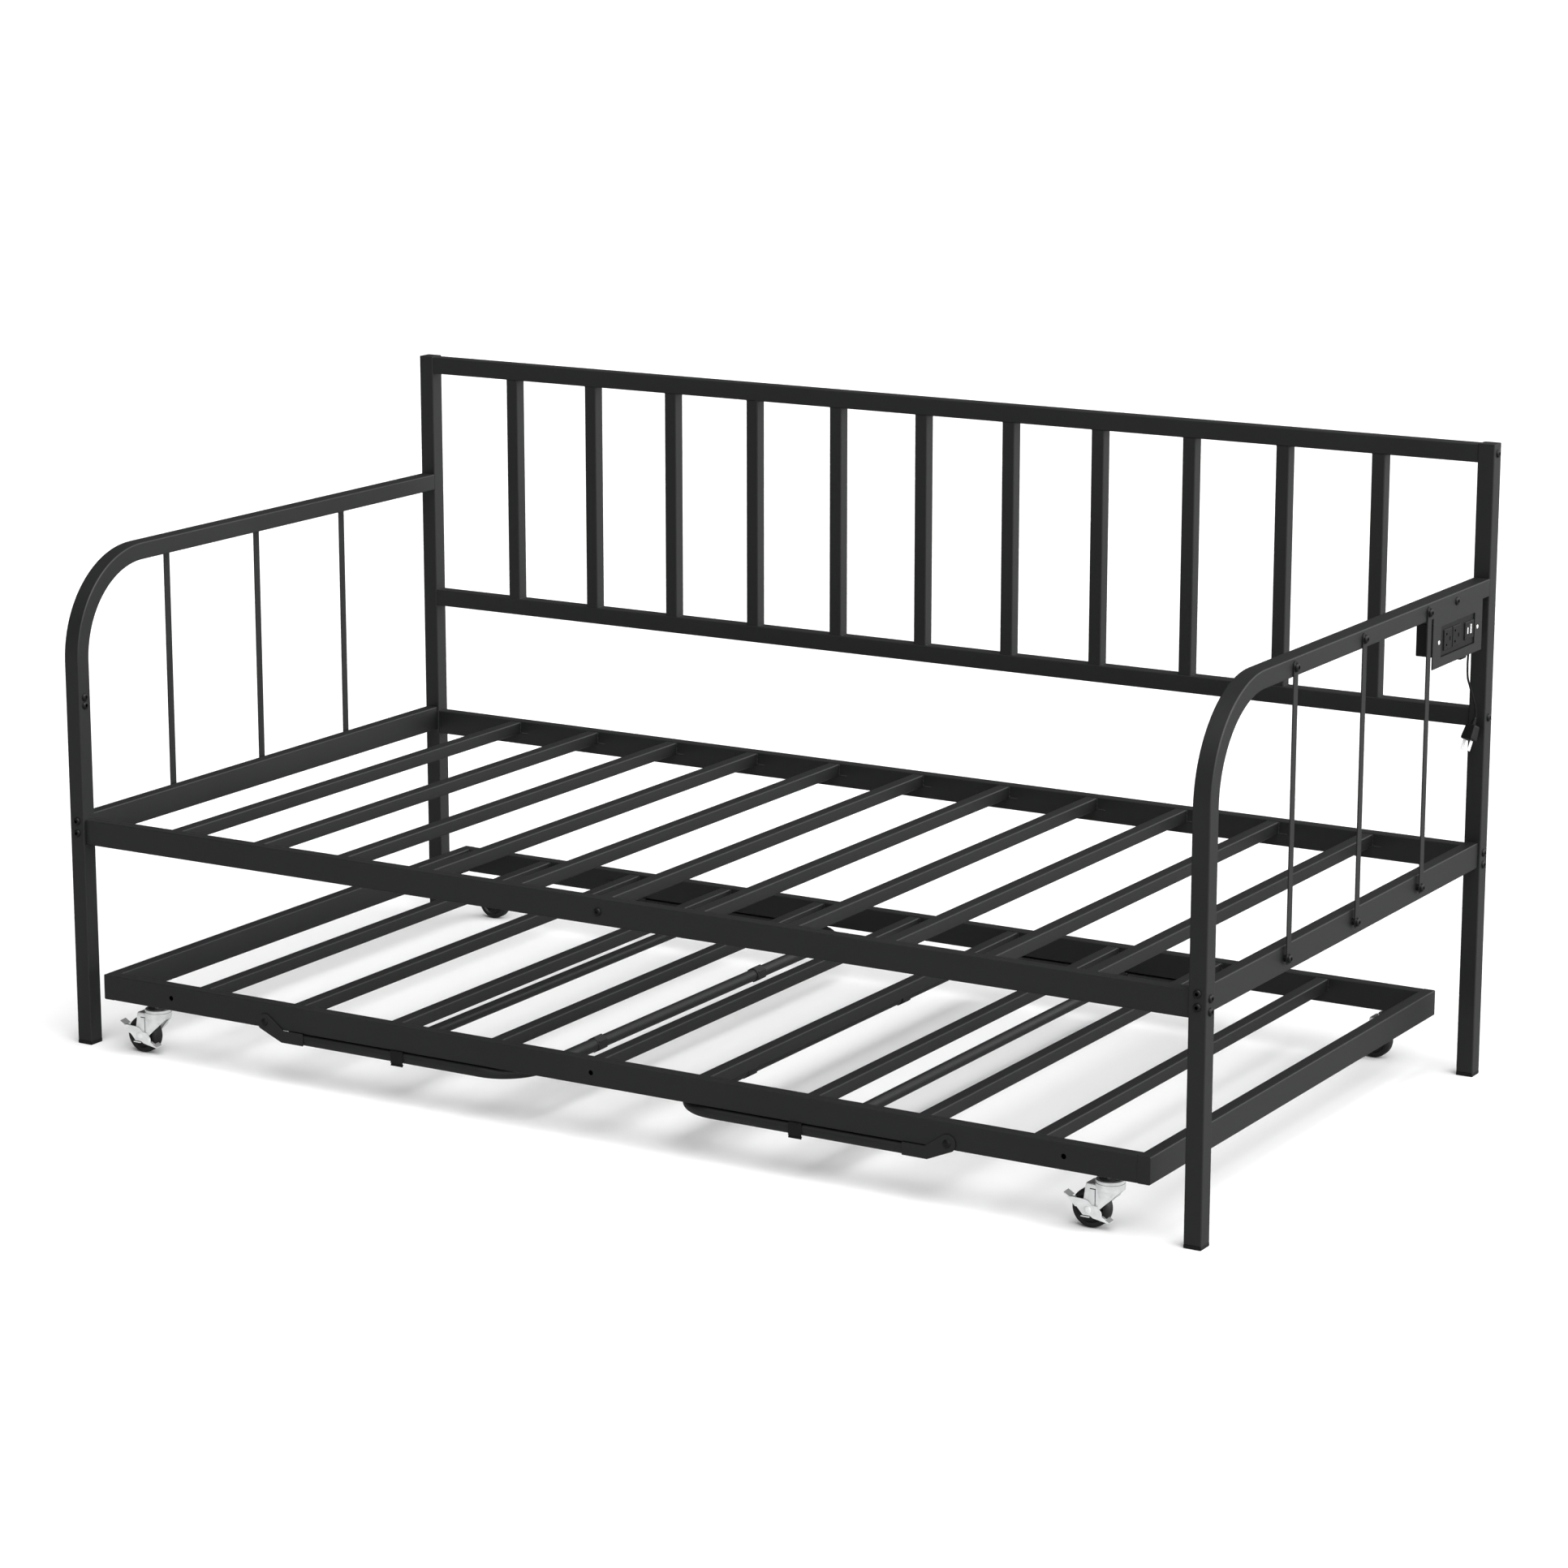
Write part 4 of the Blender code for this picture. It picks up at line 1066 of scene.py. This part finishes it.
class DAYBED_OT_casters(Builder, bpy.types.Operator):
    """Press the forks, turn the wheels and shape the brake pedals"""

    bl_idname = "daybed.casters"
    bl_label = "Casters"

    def build(self):
        for name in CASTERS:
            low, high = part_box(f"caster_wheel_{name}")
            self.axle = (low + high) / 2
            self.stem = self.axle + Vector((0.027, 0, -self.axle.z))
            self.braked = name.startswith("front")
            self.fork(name)
            self.wheel(name)
            if self.braked:
                self.pedal(name)

    def fork(self, name):
        """The head that turns on the stem, its two cheeks with their straps, and the riveted axle."""
        bm = bmesh.new()
        x, y = self.stem.x, self.stem.y
        head = in_mm(
            *((5.4, 74.0), (15.5, 74.0), (17.0, 74.4), (19.2, 74.4), (20.6, 73.6), (21.0, 72.2)),
            *((21.0, 70.3), (20.3, 69.9), (20.3, 69.3), (21.0, 68.8), (21.0, 63.4), (20.4, 60.6)),
            *((19.0, 59.0), (17.0, 58.5), (5.4, 58.5)),
        )
        add_turned(bm, head, "z", (x, y, 0), 48)
        merge(bm)
        for sign in (-1, 1):
            self.cheek(bm, sign)
        self.web(bm)
        for sign, face in ((-1, "inner"), (1, "outer")):
            self.strap(name, sign, face)
        axle, outer, pedal = 0.003, 0.0138, 0.0024
        near = outer + (pedal if self.braked else 0.0)
        z = self.axle.z
        add_rod(bm, axle, outer + near, "y", (self.axle.x, y + (outer - near) / 2, z), 20)
        rivet = in_mm((0, 0), (5.6, 0), (5.6, 0.5), (4.6, 1.3), (2.8, 1.7), (0, 1.8))
        for sign, start in ((-1, near), (1, outer)):
            add_turned(bm, rivet, "y", (self.axle.x, y + sign * start, z), 24, sign)
        node = f"caster_fork_{name}"
        piece(bm, f"{node}_pressing", f"caster_{name}", "zinc", [node], sharp=40)

    def cheek(self, bm, sign):
        """One side of the fork, from the head's rim down to the axle."""
        outline = in_mm((-31.8, 65.0), (-30.2, 66.5), (10.0, 66.5), (10.0, 49.0), (-8.5, 33.0))
        outline += arc((-0.027, 0.0288), 0.0095, -30, -180, 10) + in_mm((-35.5, 40.0))
        y = self.stem.y + sign * 0.0121
        add_plate(bm, outline, 0.0018, Matrix.Translation((self.stem.x, y, 0)), 0.0005)
        self.gusset(bm, sign)

    def gusset(self, bm, sign):
        """The flared sheet that comes down from the head's rim and narrows to the cheek."""
        skirt, steps = bmesh.new(), 16
        chains = []
        for curve in (self.rim_point, self.hem_point):
            points = [skirt.verts.new(curve(i / steps, sign)) for i in range(steps + 1)]
            chains += [skirt.edges.new(pair) for pair in zip(points, points[1:])]
        bmesh.ops.bridge_loops(skirt, edges=chains)
        bmesh.ops.subdivide_edges(skirt, edges=[e for e in skirt.edges if e not in chains], cuts=3)
        bmesh.ops.recalc_face_normals(skirt, faces=skirt.faces)
        face_out(skirt, (0, sign, 0))
        bmesh.ops.solidify(skirt, geom=skirt.faces[:], thickness=0.0016)
        pour(bm, skirt)

    def rim_point(self, share, sign):
        """A gusset's upper edge, round the head's rim."""
        radius, height = 0.0209, 0.0660
        turn = math.radians(212 + 128 * share)
        return self.stem + Vector((radius * math.cos(turn), -sign * radius * math.sin(turn), height))

    def hem_point(self, share, sign):
        """A gusset's lower edge, from the axle up to the head."""
        near, far = Vector((-0.0108, sign * 0.0142, 0.0298)), Vector((0.0196, sign * 0.0072, 0.0596))
        return self.stem + near.lerp(far, share)

    def strap(self, name, sign, face):
        """The raised strap pressed in a cheek, with the lug slit cut round it and a near-black sheet behind
        the slit as painted shade.
        """
        outline = in_mm((-29.8, 65.0), (-28.8, 66.0), (-12.2, 65.5), (-10.8, 64.0), (-9.8, 30.5))
        outline += in_mm((-33.0, 32.0), (-34.8, 40.0))
        middle_x, middle_y, body = self.stem.x, self.stem.y, f"caster_{name}"
        bm = bmesh.new()
        add_plate(bm, outline, 0.0012, Matrix.Translation((middle_x, middle_y + sign * 0.0134, 0)), 0.0005)
        made = piece(bm, f"caster_strap_{name}_{face}", body, "zinc", clean=False)
        slit, shade_sheets = bmesh.new(), bmesh.new()
        for x, z, wide, tall in ((-0.0205, 0.0592, 0.0092, 0.0015), (-0.0166, 0.0478, 0.0014, 0.0244)):
            add_box(slit, (wide, 0.0014, tall), (middle_x + x, middle_y + sign * 0.0137, z))
            # A near-black sheet behind the slit paints the shade in it, in place of the bright cheek seen
            # through.
            inside = (wide - 0.0002, 0.0003, tall - 0.0002)
            add_box(shade_sheets, inside, (middle_x + x, middle_y + sign * 0.01315, z))
        carve(made, slit)
        piece(shade_sheets, f"caster_slit_shade_{name}_{face}", body, "shadow", clean=False)

    def web(self, bm):
        """The bridge between the cheeks, behind the head."""
        add_box(bm, (0.0170, 0.0236, 0.0018), (self.stem.x - 0.0223, self.stem.y, 0.0656), 0.0005)
        add_box(bm, (0.0018, 0.0236, 0.0080), (self.stem.x - 0.0309, self.stem.y, 0.0622), 0.0005)

    def wheel(self, name):
        """A tyre, a sunk web and a hub in one turned shape, with six ribs on each face."""
        half = 0.0098
        profile = [(0.0033, half), (0.0078, half), (0.0086, half - 0.0004), (0.0092, half - 0.0016)]
        profile += [(0.0108, half - 0.0024), (0.0188, half - 0.0024), (0.0200, half - 0.0012), (0.0208, half)]
        profile += [(0.0240, half), (0.0262, half - 0.0007), (0.0276, half - 0.0022), (0.0284, half - 0.0045)]
        profile += [(0.0285, 0.0008), (0.02855, 0.0), (0.0285, -0.0008)]
        profile += [(r, -h) for r, h in reversed(profile[:12])]
        bm = bmesh.new()
        add_turned(bm, profile, "y", self.axle, 64)
        for i in range(6):
            turn = Matrix.Rotation(i * math.pi / 3, 4, "Y")
            for side in (-1, 1):
                spot = self.axle + turn @ Vector((0.0150, side * (half - 0.0020), 0))
                add_box(bm, (0.0088, 0.0012, 0.0016), spot, 0.0004, 2, turn)
        piece(bm, f"caster_wheel_{name}_moulding", f"wheel_{name}", "wheel", [f"caster_wheel_{name}"])

    def pedal(self, name):
        """The brake lever: a shaped plate, with lugs that bend over the tread and stop short of the wheel."""
        cheek_inside, cheek_sheet, gap, thick = 0.0112, 0.0018, 0.0014, 0.0018
        y = self.stem.y - (cheek_inside + cheek_sheet + gap + thick / 2)
        outline = in_mm(
            *((-37.0, 19.9), (-27.4, 14.3), (-16.1, 14.9), (-4.8, 14.4), (1.3, 12.8), (6.0, 7.4)),
            *((14.4, 6.7), (20.9, -1.0), (21.8, -7.4), (33.9, -14.0), (32.6, -15.5), (8.3, -11.2)),
            *((3.9, -8.3), (-7.4, -8.5), (-11.7, -3.7), (-17.0, 1.8), (-19.6, 1.9), (-30.9, 13.6)),
        )
        bm = bmesh.new()
        matrix = Matrix.Translation((self.axle.x, y, self.axle.z))
        add_plate(bm, outline, thick, matrix, 0.0004)
        over, beside = 0.0130, 0.0042
        lugs = (
            ((-0.0370, 0.0195), (-0.0274, 0.0139), over),
            ((-0.0278, 0.0142), (-0.0196, 0.0143), beside),
            ((0.0214, -0.0076), (0.0272, -0.0108), beside),
            ((0.0272, -0.0108), (0.0338, -0.0144), over),
        )
        for (x, z), (far_x, far_z), reach in lugs:
            long, lean = math.hypot(far_x - x, far_z - z), math.atan2(far_z - z, far_x - x)
            turn = Matrix.Rotation(-lean, 4, "Y") @ Matrix.Rotation(math.radians(8), 4, "X")
            back = y - self.axle.y + reach / 2 - 0.0007
            middle = Vector(((x + far_x) / 2, back, (z + far_z) / 2 + 0.0004))
            add_box(bm, (long + 0.0004, reach, 0.0014), self.axle + middle, 0.0005, 2, turn)
        clip = self.axle + Vector((-0.0030, y - self.axle.y - 0.0016, -0.0099))
        add_box(bm, (0.0130, 0.0026, 0.0016), clip, 0.0004)
        add_rod(bm, 0.0078, 0.0006, "y", (self.axle.x, y - thick / 2, self.axle.z), 32, 0.0002)
        node = f"brake_pedal_{name}"
        made = piece(bm, f"{node}_pressing", f"brake_{name}", "zinc", [node], clean=False)
        bore = bmesh.new()
        add_rod(bore, 0.0034, 0.02, "y", (self.axle.x, y, self.axle.z), 24)
        carve(made, bore)


class DAYBED_OT_legs(Builder, bpy.types.Operator):
    """Bend the folding legs, with their stretchers, plates, collars and clips"""

    bl_idname = "daybed.legs"
    bl_label = "Folding legs"

    def build(self):
        clips = bmesh.new()
        for side, sign in SIDES:
            self.leg(side, sign)
            self.clip(clips, sign)
        piece(clips, "leg_clips", "trundle", "foot", clean=False)

    def leg(self, side, sign):
        """One tube: along the front rail, across the trundle and back along the rear rail."""
        node = f"folding_leg_{side}"
        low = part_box(node)[0]
        radius, bend = self.sizes.leg_radius, self.sizes.leg_bend
        front, rear = low.y + 0.0021 + radius, self.rear_line()
        z, start, cross = 0.0757, sign * 0.555, sign * 0.133
        bm = bmesh.new()
        across = Matrix.Translation((start, front, z)) @ TO_X
        ring = edges_at(bmesh.ops.create_circle(bm, segments=24, radius=radius, matrix=across)["verts"])
        ring = run_on(bm, ring, (cross + sign * bend - start, 0, 0))
        turn = -sign * math.pi / 2
        ring = bend_on(bm, ring, (cross + sign * bend, front + bend, z), (0, 0, 1), turn, 16)
        ring = run_on(bm, ring, (0, rear - front - 2 * bend, 0))
        ring = bend_on(bm, ring, (cross + sign * bend, rear - bend, z), (0, 0, 1), turn, 16)
        run_on(bm, ring, (start - cross - sign * bend, 0, 0))
        merge(bm)
        face_out(bm, (0, 0, 1))
        body = f"leg_{side}"
        piece(bm, f"{node}_tube", body, "coat", [node], self.sizes.tube_wall, clean=False)
        self.fittings(node, body, sign, (front, rear, z, cross))
        self.brackets(node, body, sign, low.y)

    def rear_line(self):
        """Y of the middle of the leg's rear tube, which lies along the rear rail's inner face."""
        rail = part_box("trundle_side_rail_right")[1].y - TRUNDLE_RAIL_DEEP
        return rail - 0.0003 + self.sizes.leg_radius - 0.0004

    def fittings(self, node, body, sign, lines):
        """The stretcher with its welds, the hex collars and the sleeve on the crossbar."""
        front, rear, z, cross = lines
        bm = bmesh.new()
        stretcher, drops = sign * 0.384, 12
        at = (stretcher, (front + rear) / 2, z)
        add_rod(bm, self.sizes.leg_radius * 0.97, rear - front, "y", at, 24)
        for y, nudge in ((front, 1), (rear, -1)):
            for i in range(drops):
                turn = 2 * math.pi * i / drops
                x = stretcher + 0.0098 * math.cos(turn)
                spot = Matrix.Translation((x, y + nudge * 0.0086, z + 0.0085 * math.sin(turn)))
                bmesh.ops.create_icosphere(bm, subdivisions=2, radius=0.0016, matrix=spot)
        collars = (MIDDLE_Y - 0.287, MIDDLE_Y + 0.178)
        for y in collars:
            add_rod(bm, 0.0128, 0.022, "y", (cross, y, z), 6, 0.0008)
            add_rod(bm, 0.0112, 0.027, "y", (cross, y, z), 24, 0.0010)
        sleeve = (front + self.sizes.leg_bend, collars[0])
        add_rod(bm, 0.0103, sleeve[1] - sleeve[0], "y", (cross, sum(sleeve) / 2, z), 24, 0.0006)
        piece(bm, f"{node}_fittings", body, "coat", clean=False)

    def brackets(self, node, body, sign, front):
        """The dog-leg plate at each end of the tube, and the rivet that it turns on."""
        pivot = Vector((sign * 0.595, 0, 0.095))
        outline = arc((0, 0), 0.0135, 48, 228, 18)
        outline += [(0.0315, -0.0273), (0.072, -0.0273), (0.072, -0.0083), (0.035, -0.0083)]
        outline = [(-sign * x, h) for x, h in outline]
        thick = 0.0025
        rear = self.rear_line() - self.sizes.leg_radius + 0.0004 - thick / 2
        plates, rivets = bmesh.new(), bmesh.new()
        head = in_mm((0, 0), (6.2, 0), (6.2, 0.5), (4.8, 1.6), (2.4, 2.1), (0, 2.2))
        for y in (front + thick / 2, rear):
            add_plate(plates, outline, thick, Matrix.Translation((pivot.x, y, pivot.z)), 0.0005)
            add_turned(rivets, head, "y", (pivot.x, y - thick / 2, pivot.z), 28, -1)
        piece(plates, f"{node}_plates", body, "coat")
        piece(rivets, f"{node}_rivets", body, "bolt")

    def clip(self, bm, sign):
        """A sprung clip under the front rail that holds the leg's tube up."""
        x, rail = sign * 0.348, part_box("trundle_side_rail_right")[0]
        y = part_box("folding_leg_right")[0].y + 0.0025 + self.sizes.leg_radius - 0.0004
        reach = self.sizes.leg_radius + 0.0010
        add_box(bm, (0.022, 2 * reach + 0.0012, 0.0008), (x, y, rail.z - 0.0004), 0.0002)
        for way in (-1, 1):
            add_box(bm, (0.022, 0.0012, 0.0200), (x, y + way * reach, rail.z - 0.0100), 0.0004)
            lip = Matrix.Rotation(way * math.radians(32), 4, "X")
            mouth = (x, y + way * (reach - 0.0009), rail.z - 0.0214)
            add_box(bm, (0.022, 0.0012, 0.0046), mouth, 0.0004, 2, lip)


class DAYBED_OT_stage(Builder, bpy.types.Operator):
    """Lay the floor and set the lights and the camera"""

    bl_idname = "daybed.stage"
    bl_label = "Studio"

    def build(self):
        colours = bpy.context.scene.daybed_finishes
        bm = bmesh.new()
        bmesh.ops.create_grid(bm, x_segments=1, y_segments=1, size=30)
        mesh = bpy.data.meshes.new("studio_floor")
        bm.to_mesh(mesh)
        bm.free()
        floor = add_object("studio_floor", mesh)
        mesh.materials.append(self.floor_finish(colours.floor))
        self.sky()
        self.light("overhead", (-0.35, 0.40, -1.0), 50, 2.4)
        self.light("side", (-1.0, -0.45, -0.45), 50, 0.9)
        self.camera()
        bpy.context.scene.view_settings.view_transform = "Standard"

    def floor_finish(self, colour):
        """Pale to look at, and dimmer where it is only mirrored, as under a darkened studio."""
        finish = Finish("pale_floor")
        mirrored = finish.node("LightPath", output="Is Glossy Ray")
        finish.set(
            Base_Color=finish.blend(colour, times(colour, 0.28), mirrored),
            Roughness=0.9,
            Specular_IOR_Level=0.1,
        )
        return finish.material

    def light(self, name, way, spread, strength):
        """A broad, soft and even light from far away."""
        lamp = bpy.data.lights.new(name, "SUN")
        lamp.angle, lamp.energy = math.radians(spread), strength
        made = add_object(name, lamp)
        made.rotation_euler = Vector(way).to_track_quat("-Z", "Y").to_euler()

    def sky(self):
        """Even white behind the bed, with the dimmer side of the studio in front of it."""
        world = bpy.data.worlds.new("studio")
        world.use_nodes = True
        bpy.context.scene.world = world
        tree = world.node_tree
        tree.nodes.clear()
        nodes, links = tree.nodes, tree.links
        output = nodes.new("ShaderNodeOutputWorld")
        back = nodes.new("ShaderNodeBackground")
        place = nodes.new("ShaderNodeTexCoord")
        side = nodes.new("ShaderNodeVectorMath")
        side.operation = "DOT_PRODUCT"
        side.inputs[1].default_value = (0.97, 0.12, 0.20)
        ramp = nodes.new("ShaderNodeMapRange")
        ramp.interpolation_type = "SMOOTHSTEP"
        for key, value in (("From Min", -0.25), ("From Max", 0.85), ("To Min", 0.08), ("To Max", 1.7)):
            ramp.inputs[key].default_value = value
        seen = nodes.new("ShaderNodeLightPath")
        pick = nodes.new("ShaderNodeMix")
        pick.inputs[3].default_value = 1.0
        links.new(place.outputs["Generated"], side.inputs[0])
        links.new(side.outputs["Value"], ramp.inputs["Value"])
        links.new(seen.outputs["Is Camera Ray"], pick.inputs[0])
        links.new(ramp.outputs["Result"], pick.inputs[2])
        links.new(pick.outputs[0], back.inputs["Strength"])
        links.new(back.outputs[0], output.inputs[0])
        back.inputs["Color"].default_value = (1, 1, 1, 1)

    def camera(self):
        """In front of the bed, above it and to its right."""
        lens = bpy.data.cameras.new("camera")
        lens.lens, lens.sensor_width = 102.7, 36
        lens.clip_end = 200
        made = add_object("camera", lens)
        made.location = (3.4690, -5.7396 + MIDDLE_Y, 1.9862)
        made.rotation_euler = (math.pi / 2 - 0.2268, 0, 0.5405)
        bpy.context.scene.camera = made


BUILDERS = (
    DAYBED_OT_stage,
    DAYBED_OT_cord,
    DAYBED_OT_arms,
    DAYBED_OT_posts,
    DAYBED_OT_feet,
    DAYBED_OT_back,
    DAYBED_OT_deck,
    DAYBED_OT_bars,
    DAYBED_OT_bolts,
    DAYBED_OT_outlet,
    DAYBED_OT_trundle,
    DAYBED_OT_casters,
    DAYBED_OT_legs,
)


class DAYBED_PT_panel(bpy.types.Panel):
    """Lists the bed's pieces in the order they are made"""

    bl_idname = "DAYBED_PT_panel"
    bl_label = "Daybed"
    bl_space_type = "VIEW_3D"
    bl_region_type = "UI"
    bl_category = "Daybed"

    def draw(self, context):
        column = self.layout.column(align=True)
        for builder in BUILDERS:
            column.operator(builder.bl_idname)
        for group in (context.scene.daybed_sizes, context.scene.daybed_finishes):
            box = self.layout.box()
            for key in group.bl_rna.properties.keys():
                if key not in ("name", "rna_type"):
                    box.prop(group, key)


CLASSES = (DaybedSizes, DaybedFinishes, *BUILDERS, DAYBED_PT_panel)


def register():
    for cls in CLASSES:
        bpy.utils.register_class(cls)
    bpy.types.Scene.daybed_sizes = PointerProperty(type=DaybedSizes)
    bpy.types.Scene.daybed_finishes = PointerProperty(type=DaybedFinishes)


def unregister():
    del bpy.types.Scene.daybed_finishes
    del bpy.types.Scene.daybed_sizes
    for cls in reversed(CLASSES):
        bpy.utils.unregister_class(cls)


def main():
    register()
    for builder in BUILDERS:
        area, name = builder.bl_idname.split(".")
        getattr(getattr(bpy.ops, area), name)()


if __name__ == "__main__":
    main()
